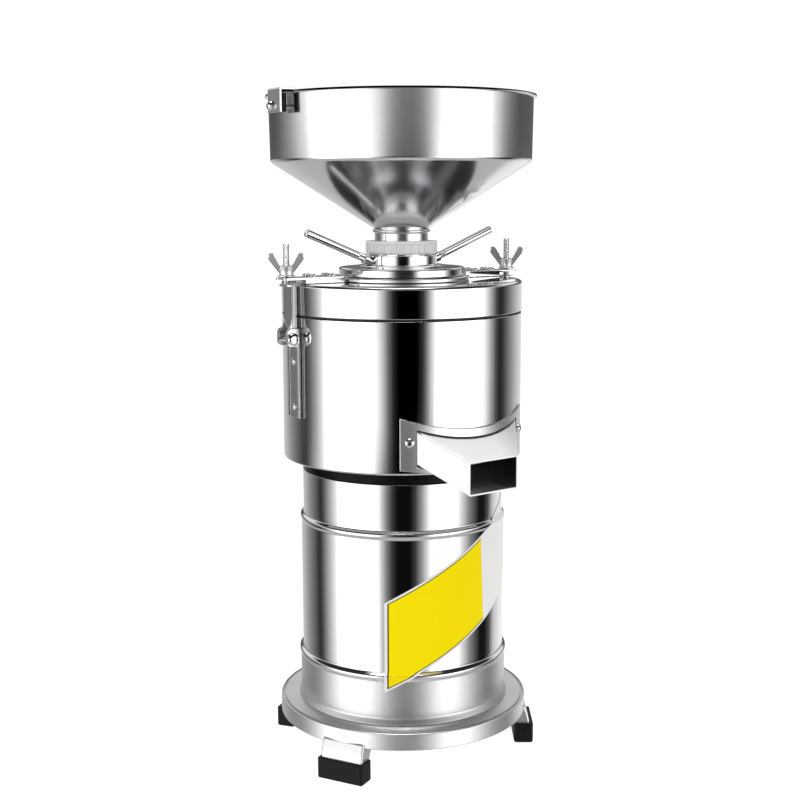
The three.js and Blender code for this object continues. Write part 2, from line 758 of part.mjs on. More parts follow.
function makeFan() {
  const hub = ring(SHAFT_LOWER_RADIUS + GAP, SHAFT_CORE_RADIUS, fanBottom, fanBottom + FAN_HEIGHT, BORE_STEPS);
  const disc = ring(SHAFT_LOWER_RADIUS + GAP, FAN_RADIUS, fanBottom, fanBottom + FAN_DISC, BORE_STEPS);
  const half = FAN_BLADE_THICKNESS / 2;
  const blade = block(
    SHAFT_CORE_RADIUS - 1, FAN_RADIUS - 1, -half, half, fanBottom + 1, fanBottom + FAN_HEIGHT,
  );
  const blades = [];
  for (let i = 0; i < FAN_BLADES; i += 1) {
    blades.push(turnedTo(blade, (i * 360) / FAN_BLADES));
  }
  return join(hub, disc, ...blades);
}

addPart('cooling_fan', makeFan(), blackPlastic);

// Switch frame let into the case, its rocker, and the cable gland below
const switchGroup = radialGroup(SWITCH_ANGLE);
const switchFace = CASE_MIDDLE_RADIUS + GAP + SWITCH_FLANGE;
const rockerHalfWidth = switchBodyWidth / 2 - ROCKER_SIDE_GAP;
const rockerHalfHeight = switchBodyHeight / 2 - ROCKER_EDGE;
const rockerPivot = switchFace - ROCKER_DROP;

function makeSwitchFrame() {
  const halfWidth = SWITCH_WIDTH / 2;
  const halfHeight = SWITCH_HEIGHT / 2;
  const bodyHalfWidth = switchBodyWidth / 2;
  const bodyHalfHeight = switchBodyHeight / 2;
  const back = CASE_MIDDLE_RADIUS + GAP;
  const flange = block(
    back, switchFace, -halfWidth, halfWidth, switchHeight - halfHeight, switchHeight + halfHeight,
  );
  const body = block(
    back - SWITCH_DEPTH, back + 1, -bodyHalfWidth, bodyHalfWidth,
    switchHeight - bodyHalfHeight, switchHeight + bodyHalfHeight,
  );
  const wellHalfWidth = rockerHalfWidth + GAP;
  const wellHalfHeight = rockerHalfHeight + 2 * GAP;
  const well = block(
    back - SWITCH_DEPTH + 2, switchFace + 1, -wellHalfWidth, wellHalfWidth,
    switchHeight - wellHalfHeight, switchHeight + wellHalfHeight,
  );
  return cut(join(flange, body), well);
}

function makeRocker() {
  const rocker = sidePlate([
    [-ROCKER_HEEL_DEPTH, -ROCKER_EDGE],
    [-ROCKER_HEEL_DEPTH, ROCKER_EDGE],
    [ROCKER_DROP - ROCKER_EDGE, rockerHalfHeight - ROCKER_EDGE],
    [ROCKER_DROP, rockerHalfHeight - ROCKER_EDGE],
    [ROCKER_DROP - ROCKER_DISH, 0],
    [ROCKER_DROP, ROCKER_EDGE - rockerHalfHeight],
    [ROCKER_DROP - ROCKER_EDGE, ROCKER_EDGE - rockerHalfHeight],
  ], 2 * rockerHalfWidth);
  rocker.rotateY(THREE.MathUtils.degToRad(ROCKER_TILT));
  rocker.translate(rockerPivot, 0, switchHeight);
  return rocker;
}

addPart('switch_frame', makeSwitchFrame(), blackPlastic, switchGroup);
addPart('switch_rocker', makeRocker(), redPlastic, switchGroup);

const glandFace = CASE_LOWER_RADIUS + GAP;
const glandSolid = turned([
  [GLAND_BORE_RADIUS, -GLAND_NUT],
  [GLAND_BODY_RADIUS, -GLAND_NUT],
  [GLAND_BODY_RADIUS, 0],
  [GLAND_RADIUS, 0],
  [GLAND_RADIUS, GLAND_NUT],
  [GLAND_BODY_RADIUS, GLAND_REACH],
  [GLAND_BORE_RADIUS, GLAND_REACH],
], SCREW_STEPS);
addPart('cable_gland', laidAlongX(glandSolid, glandFace, gland.height), blackPlastic, switchGroup);

// Pan head screw along Z with its head above z = 0
function screwGeometry(
  length, radius = SCREW_RADIUS, headRadius = SCREW_HEAD_RADIUS, headHeight = SCREW_HEAD_HEIGHT,
) {
  return bar([
    [radius, -length],
    [radius, 0],
    [headRadius, 0],
    [headRadius, headHeight * 0.55],
    [headRadius * 0.6, headHeight],
  ], SCREW_STEPS);
}

// Discharge chute: a curved flange on the drum and a tapering spout
function chuteStrip(spread, mouthHalfWidth, trim, start, end) {
  const inletBottom = chuteInletBottom + trim;
  const inletTop = chuteInletBottom + CHUTE_INLET_HEIGHT - trim;
  const columns = [];
  for (let i = 0; i < CHUTE_COLUMNS; i += 1) {
    const across = (2 * i) / (CHUTE_COLUMNS - 1) - 1;
    const [x, y] = onCircle(chuteFlangeRadius, -90 + across * spread, 0);
    const endX = across * mouthHalfWidth;
    const along = (t, z) => [x + (endX - x) * t, y + (-CHUTE_REACH - y) * t, z - CHUTE_DROP * t];
    columns.push({
      near: { bottom: along(start, inletBottom), top: along(start, inletTop) },
      far: { bottom: along(end, inletBottom), top: along(end, inletTop) },
    });
  }
  return stripSolid(columns.map((c) => c.near), columns.map((c) => c.far));
}

function chutePassage(start) {
  const trimSpread = THREE.MathUtils.radToDeg(CHUTE_WALL / DRUM_RADIUS);
  const mouthHalfWidth = CHUTE_MOUTH_WIDTH / 2 - CHUTE_WALL;
  return chuteStrip(CHUTE_INLET_SPREAD - trimSpread, mouthHalfWidth, CHUTE_WALL, start, 1.2);
}

const chuteScrewHeight = drumBottom + CHUTE_SCREW_LIFT;
const chuteScrewAngles = [-90 - CHUTE_SCREW_SPREAD, -90 + CHUTE_SCREW_SPREAD];

function chuteScrewHoles() {
  const hole = rod(SCREW_RADIUS + GAP, -SCREW_LENGTH, SCREW_LENGTH, SCREW_STEPS);
  const laid = laidAlongX(hole, DRUM_RADIUS, chuteScrewHeight);
  return chuteScrewAngles.map((angle) => turnedTo(laid, angle));
}

function makeChute() {
  const outer = chuteFlangeRadius + CHUTE_WALL;
  const steps = Math.round((2 * CHUTE_FLANGE_SPREAD) / (360 / ROUND_STEPS));
  const near = [];
  const far = [];
  const bottom = drumBottom + CHUTE_FLANGE_LIFT;
  const top = bottom + CHUTE_FLANGE_HEIGHT;
  for (let i = 0; i <= steps; i += 1) {
    const angle = -90 - CHUTE_FLANGE_SPREAD + (2 * CHUTE_FLANGE_SPREAD * i) / steps;
    const column = (radius) => ({ bottom: onCircle(radius, angle, bottom), top: onCircle(radius, angle, top) });
    near.push(column(chuteFlangeRadius));
    far.push(column(outer));
  }
  const flange = stripSolid(near, far);
  const spout = cut(
    chuteStrip(CHUTE_INLET_SPREAD, CHUTE_MOUTH_WIDTH / 2, 0, -0.3, 1),
    rod(chuteFlangeRadius, drumBottom, drumTop, ROUND_STEPS),
  );
  return cut(join(flange, spout), chutePassage(-0.5), ...chuteScrewHoles());
}

addPart('discharge_chute', makeChute(), polishedSteel);
const chuteScrewSeat = chuteFlangeRadius + CHUTE_WALL + GAP;
const chuteScrew = laidAlongX(screwGeometry(SCREW_LENGTH), chuteScrewSeat, chuteScrewHeight);
chuteScrewAngles.forEach((angle, i) => {
  addPart(`chute_screw_${i + 1}`, chuteScrew, chrome, radialGroup(angle));
});

// Grinding drum with its outlet, and the shaft seal in its floor
function makeDrum() {
  const floorTop = drumBottom + DRUM_FLOOR;
  const shell = turned([
    [SEAL_RADIUS + GAP, drumBottom],
    [DRUM_RADIUS - DRUM_EDGE, drumBottom],
    [DRUM_RADIUS, drumBottom + DRUM_EDGE],
    [DRUM_RADIUS, drumTop],
    [DRUM_RADIUS - DRUM_WALL, drumTop],
    [DRUM_RADIUS - DRUM_WALL, floorTop],
    [SEAL_RADIUS + GAP, floorTop],
  ]);
  return cut(shell, chutePassage(-0.5), ...chuteScrewHoles());
}

addPart('grinding_drum', makeDrum(), polishedSteel);

const sealFloor = drumBottom + DRUM_FLOOR + GAP;
addPart('shaft_seal', turned([
  [SHAFT_UPPER_RADIUS + GAP, drumBottom],
  [SEAL_RADIUS, drumBottom],
  [SEAL_RADIUS, sealFloor],
  [SEAL_RADIUS + SEAL_LIP, sealFloor],
  [SEAL_RADIUS + SEAL_LIP, sealFloor + SEAL_RISE],
  [SHAFT_UPPER_RADIUS + GAP, sealFloor + SEAL_RISE],
], BORE_STEPS), siliconeRubber);

// Lower stone carrier with wiper blades that push the paste to the outlet
function makeLowerCarrier() {
  const bladeBottom = drumBottom + WIPER_LIFT;
  const bore = SHAFT_UPPER_RADIUS + GAP;
  const hub = ring(bore, CARRIER_HUB_RADIUS, bladeBottom, carrierBottom + 1, BORE_STEPS);
  const plate = ring(bore, CARRIER_RADIUS, carrierBottom, carrierTop, INNER_STEPS);
  const blades = [];
  const half = WIPER_THICKNESS / 2;
  const blade = join(
    block(CARRIER_HUB_RADIUS - 2, WIPER_REACH, -half, half, bladeBottom, bladeBottom + WIPER_HEIGHT),
    block(CARRIER_HUB_RADIUS - 2, CARRIER_RADIUS - WIPER_INSET, -half, half, bladeBottom, carrierBottom + 1),
  );
  for (let i = 0; i < WIPER_COUNT; i += 1) {
    blades.push(turnedTo(blade, 30 + (i * 360) / WIPER_COUNT));
  }
  return join(hub, plate, ...blades);
}

addPart('lower_stone_carrier', makeLowerCarrier(), polishedSteel);
addPart(
  'lower_stone',
  ring(AUGER_HUB_RADIUS + 2 * GAP, STONE_RADIUS, carrierTop + GAP, lowerStoneTop, INNER_STEPS),
  greyAbrasive,
);

// Feed screw on the shaft's stud
function helicalFlight(inner, outer, bottom, rise, turns, thickness) {
  const steps = Math.round(16 * turns);
  const near = [];
  const far = [];
  for (let i = 0; i <= steps; i += 1) {
    const angle = (360 * turns * i) / steps;
    const z = bottom + (rise * i) / steps;
    near.push({ bottom: onCircle(inner, angle, z), top: onCircle(inner, angle, z + thickness) });
    far.push({ bottom: onCircle(outer, angle, z), top: onCircle(outer, angle, z + thickness) });
  }
  return stripSolid(near, far);
}

function makeAuger() {
  const bottom = lowerStoneTop - STONE_THICKNESS;
  const bore = SHAFT_STUD_RADIUS + GAP;
  const capBottom = studEnd + GAP;
  const hub = bar([
    [AUGER_HUB_RADIUS, bottom],
    [AUGER_HUB_RADIUS, capBottom],
    [AUGER_CAP_RADIUS, capBottom + AUGER_CAP_HEIGHT],
  ]);
  const flightBottom = upperStoneBottom + 1;
  const rise = Math.min(AUGER_LENGTH, capBottom - flightBottom - AUGER_FLIGHT);
  const flight = helicalFlight(
    AUGER_HUB_RADIUS - 2, AUGER_RADIUS, flightBottom, rise, AUGER_TURNS, AUGER_FLIGHT,
  );
  return cut(join(hub, flight), rod(bore, bottom - 1, capBottom));
}

addPart('feed_screw', makeAuger(), polishedSteel);

// Upper stone, and its carrier with the feed tube that the hopper stands on
addPart(
  'upper_stone',
  ring(STONE_BORE_RADIUS, STONE_RADIUS, upperStoneBottom, upperStoneBottom + STONE_THICKNESS, INNER_STEPS),
  greyAbrasive,
);
addPart('upper_stone_carrier', turned([
  [FEED_BORE_RADIUS, upperCarrierBottom],
  [CARRIER_RADIUS, upperCarrierBottom],
  [CARRIER_RADIUS, upperCarrierTop],
  [FEED_TUBE_RADIUS, upperCarrierTop],
  [FEED_TUBE_RADIUS, feedTubeTop],
  [FEED_BORE_RADIUS, feedTubeTop],
], INNER_STEPS), polishedSteel);

// Lid and the parts bolted on it
const armScrewPlaces = [];
for (const along of [0, ARM_SCREW_SPACING]) {
  for (const across of [-ARM_SCREW_WIDTH / 2, ARM_SCREW_WIDTH / 2]) {
    armScrewPlaces.push([ARM_SCREW_INNER + along, across]);
  }
}
const clampAngles = [180 + SIDE_TURN, SIDE_TURN];

function armScrewHoles(bottom, top) {
  return armScrewPlaces.map(([x, y]) => rod(SCREW_RADIUS + GAP, bottom, top, SCREW_STEPS).translate(x, y, 0));
}

function makeLid() {
  const shell = turned([
    [LID_RADIUS - LID_WALL, lidBottom],
    [LID_RADIUS, lidBottom],
    [LID_RADIUS, lidTop - LID_EDGE],
    [LID_RADIUS - LID_EDGE, lidTop],
    [BOSS_TUBE_RADIUS + GAP, lidTop],
    [BOSS_TUBE_RADIUS + GAP, lidTop - LID_TOP],
    [LID_RADIUS - LID_WALL, lidTop - LID_TOP],
  ]);
  const holes = armScrewHoles(lidTop - 2 * LID_TOP, lidTop + 1);
  return cut(shell, ...clampAngles.flatMap((angle) => holes.map((hole) => turnedTo(hole, angle))));
}

addPart('lid_seal_ring', ring(
  DRUM_RADIUS - SEAL_RING_WIDTH, DRUM_RADIUS - 1, sealRingBottom, sealRingBottom + SEAL_RING_THICKNESS,
  INNER_STEPS,
), siliconeRubber);
addPart('lid', makeLid(), polishedSteel);
addPart(
  'lid_flange',
  ring(BOSS_TUBE_RADIUS + GAP, LID_FLANGE_RADIUS, lidTop + GAP, lidFlangeTop),
  polishedSteel,
);
const bossBore = COLLAR_SPIGOT_RADIUS + GAP;
addPart('threaded_boss', turned([
  [bossBore, lidTop - BOSS_TUBE_DROP],
  [BOSS_TUBE_RADIUS, lidTop - BOSS_TUBE_DROP],
  [BOSS_TUBE_RADIUS, bossBottom],
  [BOSS_RADIUS, bossBottom],
  [BOSS_RADIUS, bossTop],
  [bossBore, bossTop],
]), polishedSteel);

// Adjusting collar with two screwed-in handles
function alongHandle(geometry) {
  const lean = THREE.MathUtils.degToRad(90 - HANDLE_RISE);
  return geometry.clone().rotateY(lean).translate(HANDLE_START, 0, collarBottom + HANDLE_SEAT);
}

const handleLength = (HANDLE_END - HANDLE_START) / Math.cos(THREE.MathUtils.degToRad(HANDLE_RISE));
const handleAngles = [HANDLE_ANGLE, HANDLE_ANGLE - 180];

function makeCollar() {
  const body = turned([
    [FEED_TUBE_RADIUS + GAP, lidTop - COLLAR_SPIGOT_DROP],
    [COLLAR_SPIGOT_RADIUS, lidTop - COLLAR_SPIGOT_DROP],
    [COLLAR_SPIGOT_RADIUS, collarBottom],
    [COLLAR_BASE_RADIUS, collarBottom],
    [COLLAR_TOP_RADIUS, collarTop],
    [FEED_TUBE_RADIUS + GAP, collarTop],
  ]);
  const socket = alongHandle(rod(HANDLE_RADIUS + GAP, -GAP, handleLength, 16));
  return cut(body, ...handleAngles.map((angle) => turnedTo(socket, angle)));
}

addPart('adjusting_collar', makeCollar(), chrome);
const handle = alongHandle(bar([
  [HANDLE_RADIUS, 0],
  [HANDLE_RADIUS, handleLength - 0.7],
  [HANDLE_RADIUS - 0.7, handleLength],
], 16));
handleAngles.forEach((angle, i) => {
  addPart(`adjusting_handle_${i + 1}`, handle, chrome, radialGroup(angle));
});

// Ribbed union nut
function makeUnionNut() {
  const ribbed = new THREE.Shape();
  const points = 2 * NUT_RIBS;
  for (let i = 0; i < points; i += 1) {
    const radius = i % 2 === 0 ? NUT_RADIUS : NUT_RADIUS - NUT_RIB_DEPTH;
    const [x, y] = onCircle(radius, (360 * i) / points, 0);
    if (i === 0) {
      ribbed.moveTo(x, y);
    } else {
      ribbed.lineTo(x, y);
    }
  }
  const body = new THREE.ExtrudeGeometry(ribbed, { depth: NUT_HEIGHT, bevelEnabled: false });
  body.translate(0, 0, nutBottom);
  const envelope = bar([
    [NUT_RADIUS - NUT_CHAMFER, nutBottom - GAP],
    [NUT_RADIUS + 1, nutBottom + NUT_CHAMFER],
    [NUT_RADIUS + 1, nutTop + 1],
  ], INNER_STEPS);
  const bore = bar([
    [FEED_TUBE_RADIUS + GAP, nutBottom - 1],
    [FEED_TUBE_RADIUS + GAP, nutTop - NUT_LIP],
    [NECK_RADIUS + GAP, nutTop - NUT_LIP],
    [NECK_RADIUS + GAP, nutTop + 1],
  ], ROUND_STEPS);
  return cut(common(body, envelope), bore);
}

addPart('union_nut', makeUnionNut(), whiteNylon);

// Hopper: funnel with a short neck, a straight band and a rolled lip
function makeHopper() {
  const slope = HOPPER_CONE_HEIGHT / (HOPPER_LOWER_RADIUS - NECK_RADIUS);
  const wallRise = HOPPER_WALL * Math.hypot(1, slope);
  const neckFlangeBottom = neckFlangeTop - NECK_FLANGE;
  const insideTop = HOPPER_UPPER_RADIUS - HOPPER_WALL;
  const insideLow = HOPPER_LOWER_RADIUS - HOPPER_WALL;
  const throatRise = wallRise + slope * (FEED_BORE_RADIUS - NECK_RADIUS);
  return turned([
    [FEED_BORE_RADIUS, neckFlangeBottom],
    [FEED_TUBE_RADIUS, neckFlangeBottom],
    [FEED_TUBE_RADIUS, neckFlangeTop],
    [NECK_RADIUS, neckFlangeTop],
    [NECK_RADIUS, neckTop],
    [NECK_RADIUS + NECK_BEAD_RISE, neckTop + 1],
    [NECK_RADIUS + NECK_BEAD_RISE, coneBottom],
    [HOPPER_LOWER_RADIUS, coneTop],
    [HOPPER_UPPER_RADIUS, hopperTop - HOPPER_LIP_THICKNESS],
    [HOPPER_LIP_RADIUS, hopperTop - HOPPER_LIP_THICKNESS],
    [HOPPER_LIP_RADIUS, hopperTop],
    [insideTop, hopperTop],
    [insideLow, coneTop + wallRise - slope * HOPPER_WALL],
    [FEED_BORE_RADIUS, coneBottom + throatRise],
  ]);
}

addPart('hopper', makeHopper(), polishedSteel);

// Bracket hooked over the hopper's lip, with its clamp screw
const rimGroup = radialGroup(RIM_ANGLE);
const rimScrewHeight = hopperTop - RIM_SCREW_DROP;
const rimBracketReach = HOPPER_LIP_RADIUS + RIM_BRACKET_OVERHANG;

function makeRimBracket() {
  const sheet = RIM_BRACKET_SHEET;
  const inner = HOPPER_UPPER_RADIUS - HOPPER_WALL - 3 * GAP;
  const top = hopperTop + GAP;
  const hook = sidePlate([
    [inner - sheet, top - RIM_BRACKET_DROP * 0.7],
    [inner, top - RIM_BRACKET_DROP * 0.7],
    [inner, top],
    [rimBracketReach - sheet, top],
    [rimBracketReach - sheet, top - RIM_BRACKET_DROP],
    [rimBracketReach, top - RIM_BRACKET_DROP],
    [rimBracketReach, top + sheet],
    [inner - sheet, top + sheet],
  ], RIM_BRACKET_WIDTH);
  const hole = laidAlongX(rod(RIM_SCREW_RADIUS + GAP, -5, 5, SCREW_STEPS), rimBracketReach, rimScrewHeight);
  return cut(hook, hole);
}

addPart('rim_bracket', makeRimBracket(), polishedSteel, rimGroup);
const rimScrewSeat = rimBracketReach + GAP;
const rimScrew = screwGeometry(
  rimScrewSeat - HOPPER_UPPER_RADIUS - GAP, RIM_SCREW_RADIUS, RIM_SCREW_HEAD_RADIUS, RIM_SCREW_HEAD_HEIGHT,
);
addPart('rim_screw', laidAlongX(rimScrew, rimScrewSeat, rimScrewHeight), chrome, rimGroup);

// Lid clamps, made once along +X and repeated on both sides
function makeClampArm() {
  const bottom = lidTop + GAP;
  const plate = sidePlate([
    [ARM_START, bottom],
    [ARM_BLOCK_END, bottom],
    [ARM_BLOCK_END, armTop - ARM_TIP_THICKNESS],
    [armEnd, armTop - ARM_TIP_THICKNESS],
    [armEnd, armTop],
    [ARM_START, armTop],
  ], ARM_WIDTH);
  const slot = join(
    block(pivotReach, armEnd + 1, -ARM_SLOT_WIDTH / 2, ARM_SLOT_WIDTH / 2, bottom - 1, armTop + 1),
    rod(ARM_SLOT_WIDTH / 2, bottom - 1, armTop + 1, 16).translate(pivotReach, 0, 0),
  );
  return cut(plate, slot, ...armScrewHoles(bottom - 1, armTop + 1));
}

function earShape(reach, bottom, top) {
  const shape = new THREE.Shape();
  const inner = DRUM_RADIUS + GAP;
  const corner = EAR_CORNER_RADIUS;
  shape.moveTo(inner, bottom);
  shape.lineTo(reach - corner, bottom);
  shape.absarc(reach - corner, bottom + corner, corner, -Math.PI / 2, 0, false);
  shape.lineTo(reach, top - corner);
  shape.absarc(reach - corner, top - corner, corner, 0, Math.PI / 2, false);
  shape.lineTo(inner, top);
  return shape;
}

function makeClampBracket() {
  const inner = DRUM_RADIUS + GAP;
  const bottom = pivotHeight - BRACKET_DROP;
  const top = pivotHeight + BRACKET_RISE;
  const half = BRACKET_WIDTH / 2;
  const plate = block(inner, inner + BRACKET_SHEET, -half, half, bottom, top);
  const channel = block(inner, inner + BRACKET_LIP, -half, half, bottom, top);
  const ears = sidePlate(earShape(earReach, top - EAR_HEIGHT, top), BRACKET_WIDTH);
  const hollow = block(
    inner + BRACKET_SHEET, earReach + 1, BRACKET_SHEET - half, half - BRACKET_SHEET, bottom - 1, top + 1,
  );
  const pinHole = laidAlongY(rod(PIVOT_RADIUS + GAP, -half - 1, half + 1, 16), pivotReach, pivotHeight);
  const rivet = bar([
    [RIVET_RADIUS, 0],
    [RIVET_RADIUS, BRACKET_SHEET],
    [RIVET_RADIUS * 0.55, BRACKET_SHEET + RIVET_HEIGHT],
  ], SCREW_STEPS);
  const rivets = RIVET_DROPS.map((drop) => laidAlongX(rivet, inner, pivotHeight - drop));
  return join(cut(join(plate, channel, ears), hollow, pinHole), ...rivets);
}

function makePivotPin() {
  const half = BRACKET_WIDTH / 2 + GAP;
  return laidAlongY(bar([
    [PIVOT_RADIUS, -half - 3],
    [PIVOT_RADIUS, half],
    [PIVOT_HEAD_RADIUS, half],
    [PIVOT_HEAD_RADIUS, half + PIVOT_HEAD_HEIGHT * 0.6],
    [PIVOT_HEAD_RADIUS * 0.6, half + PIVOT_HEAD_HEIGHT],
  ], SCREW_STEPS), pivotReach, pivotHeight);
}

function makeSwingBolt() {
  const top = armTop - ARM_TIP_THICKNESS - LINK_TOP_GAP;
  const innerFace = DRUM_RADIUS + GAP + BRACKET_SHEET + GAP;
  const outerFace = innerFace + LINK_DEPTH;
  const sides = new THREE.Shape();
  sides.absarc(pivotReach, pivotHeight, LINK_HEEL_RADIUS, Math.PI, 2 * Math.PI, false);
  sides.lineTo(outerFace, pivotHeight + LINK_HEEL_RADIUS);
  sides.lineTo(outerFace - LINK_TAPER, top);
  sides.lineTo(innerFace + LINK_TAPER, top);
  sides.lineTo(innerFace, pivotHeight + LINK_HEEL_RADIUS);
  const body = sidePlate(sides, LINK_WIDTH);
  const hollow = block(
    innerFace - 1, outerFace - LINK_TAPER - LINK_SHEET,
    LINK_SHEET - LINK_WIDTH / 2, LINK_WIDTH / 2 - LINK_SHEET,
    pivotHeight - LINK_HEEL_RADIUS - 1, top - LINK_SHEET,
  );
  const heelSlot = block(
    innerFace - 1, outerFace + 1,
    LINK_SHEET - LINK_WIDTH / 2, LINK_WIDTH / 2 - LINK_SHEET,
    pivotHeight - LINK_HEEL_RADIUS - 1, pivotHeight + LINK_HEEL_RADIUS,
  );
  const pinHole = laidAlongY(rod(PIVOT_RADIUS + GAP, -LINK_WIDTH, LINK_WIDTH, 16), pivotReach, pivotHeight);
  const stud = rod(STUD_RADIUS, top - LINK_SHEET / 2, studTop, SCREW_STEPS).translate(pivotReach, 0, 0);
  return join(cut(body, hollow, heelSlot, pinHole), stud);
}

function makeWingNut() {
  const hubTop = wingBottom + WING_HUB_HEIGHT;
  const wingTop = wingBottom + WING_HEIGHT;
  const hub = bar([
    [WASHER_RADIUS, washerBottom],
    [WASHER_RADIUS, wingBottom],
    [WING_HUB_RADIUS, wingBottom],
    [WING_HUB_RADIUS, wingBottom + WING_HUB_HEIGHT * 0.3],
    [WING_HUB_RADIUS - 1, hubTop],
  ], 16);
  const lobeX = WING_SPAN / 2 - WING_LOBE_RADIUS;
  const lobeZ = wingTop - WING_LOBE_RADIUS;
  const wing = new THREE.Shape();
  wing.moveTo(STUD_RADIUS + 1, wingBottom + 1);
  wing.lineTo(WING_HUB_RADIUS, wingBottom + 1);
  wing.lineTo(lobeX + WING_LOBE_RADIUS * 0.93, lobeZ - WING_LOBE_RADIUS * 0.36);
  wing.absarc(lobeX, lobeZ, WING_LOBE_RADIUS, -0.37, Math.PI * 0.85, false);
  wing.lineTo(STUD_RADIUS + 1, hubTop - 1);
  const right = sidePlate(wing, WING_THICKNESS);
  const left = turnedTo(right, 180);
  const bore = rod(STUD_RADIUS + GAP, washerBottom - 1, wingTop + 1, SCREW_STEPS);
  return cut(join(hub, right, left), bore).rotateZ(THREE.MathUtils.degToRad(WING_TURN)).translate(pivotReach, 0, 0);
}

const clampPieces = {
  clamp_arm: [makeClampArm(), polishedSteel],
  clamp_bracket: [makeClampBracket(), polishedSteel],
  clamp_pivot: [makePivotPin(), chrome],
  swing_bolt: [makeSwingBolt(), polishedSteel],
  wing_nut: [makeWingNut(), chrome],
};
const armScrew = screwGeometry(SCREW_LENGTH).translate(0, 0, armTop + GAP);

clampAngles.forEach((angle, side) => {
  const group = radialGroup(angle);
  for (const [name, [geometry, material]] of Object.entries(clampPieces)) {
    addPart(`${name}_${side + 1}`, geometry, material, group);
  }
  armScrewPlaces.forEach(([x, y], i) => {
    const screw = addPart(`arm_screw_${side + 1}${'abcd'[i]}`, armScrew, chrome, group);
    screw.position.set(x, y, 0);
  });
});

// Sticker: a rising band of thin vinyl round the case, clear of the beads
function makeSticker() {
  const inner = CASE_LOWER_RADIUS + BEAD_RISE + GAP;
  const outer = inner + STICKER_THICKNESS;
  const near = [];
  const far = [];
  for (let i = 0; i <= STICKER_COLUMNS; i += 1) {
    const turn = ((STICKER_END - STICKER_START) * i) / STICKER_COLUMNS;
    const rise = STICKER_SLOPE * inner * THREE.MathUtils.degToRad(turn);
    const bottom = caseBottom + STICKER_LIFT + rise;
    const top = bottom + STICKER_HEIGHT;
    const angle = STICKER_START + turn;
    near.push({ bottom: onCircle(inner, angle, bottom), top: onCircle(inner, angle, top) });
    far.push({ bottom: onCircle(outer, angle, bottom), top: onCircle(outer, angle, top) });
  }
  return stripSolid(near, far);
}

addPart('case_sticker', makeSticker(), yellowVinyl);

// The origin is on the ground, under the middle of the whole outline
grinder.updateMatrixWorld(true);
const reach = new THREE.Box3().setFromObject(grinder);
const middle = reach.getCenter(new THREE.Vector3());
grinder.position.set(-middle.x, -middle.y, -reach.min.z);

export default grinder;
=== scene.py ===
import math
import bmesh
import bpy
from mathutils import Matrix, Vector


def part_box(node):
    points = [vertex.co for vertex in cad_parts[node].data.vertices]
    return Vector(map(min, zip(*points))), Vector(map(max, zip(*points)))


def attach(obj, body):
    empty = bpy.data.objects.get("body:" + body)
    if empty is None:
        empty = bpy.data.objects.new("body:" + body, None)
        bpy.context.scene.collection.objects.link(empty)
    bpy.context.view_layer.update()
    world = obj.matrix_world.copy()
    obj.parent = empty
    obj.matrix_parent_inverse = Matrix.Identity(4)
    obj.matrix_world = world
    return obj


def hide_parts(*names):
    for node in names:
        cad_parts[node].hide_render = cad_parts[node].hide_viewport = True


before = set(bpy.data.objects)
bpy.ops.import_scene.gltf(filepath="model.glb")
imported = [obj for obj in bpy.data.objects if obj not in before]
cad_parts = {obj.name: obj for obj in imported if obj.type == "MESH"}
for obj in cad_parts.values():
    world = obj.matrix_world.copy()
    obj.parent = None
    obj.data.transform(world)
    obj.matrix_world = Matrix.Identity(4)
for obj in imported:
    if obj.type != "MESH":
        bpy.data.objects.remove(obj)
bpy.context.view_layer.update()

# Settings are in millimetres, measured from the motor shaft's axis and from the ground; angles are degrees.
mm = 0.001
lidLow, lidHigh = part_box("lid")
shaftAxis = Vector(((lidLow.x + lidHigh.x) / 2, (lidLow.y + lidHigh.y) / 2, 0))
stageItems = bpy.context.scene.collection
print("frame:", len(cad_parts), "nodes")


# Camera, fitted to the round edges of the mill
cameraSet = {
    "lens": 61.36,
    "place": (-794.1, -1069.9, 549.1),
    "turn": -36.5,
    "tilt": 8.65,
    "roll": 0.2,
}


def placeCamera(s):
    data = bpy.data.cameras.new("camera")
    data.lens = s["lens"]
    data.clip_start, data.clip_end = 0.05, 60
    camera = bpy.data.objects.new("camera", data)
    stageItems.objects.link(camera)
    camera.matrix_world = (
        Matrix.Translation(shaftAxis + Vector(s["place"]) * mm)
        @ Matrix.Rotation(math.radians(s["turn"]), 4, "Z")
        @ Matrix.Rotation(math.radians(90 - s["tilt"]), 4, "X")
        @ Matrix.Rotation(math.radians(-s["roll"]), 4, "Z")
    )
    bpy.context.scene.camera = camera


placeCamera(cameraSet)
bpy.context.scene.view_settings.view_transform = "Standard"
print("camera placed")


# Shader nodes: a Wire is a socket that takes part in sums, and Nodes makes every node
class Wire:
    def __init__(self, nodes, socket):
        self.nodes, self.socket = nodes, socket

    def __add__(self, other):
        return self.nodes.maths("ADD", self, other)

    def __sub__(self, other):
        return self.nodes.maths("SUBTRACT", self, other)

    def __rsub__(self, other):
        return self.nodes.maths("SUBTRACT", other, self)

    def __mul__(self, other):
        return self.nodes.maths("MULTIPLY", self, other)

    def __truediv__(self, other):
        return self.nodes.maths("DIVIDE", self, other)

    __radd__, __rmul__ = __add__, __mul__


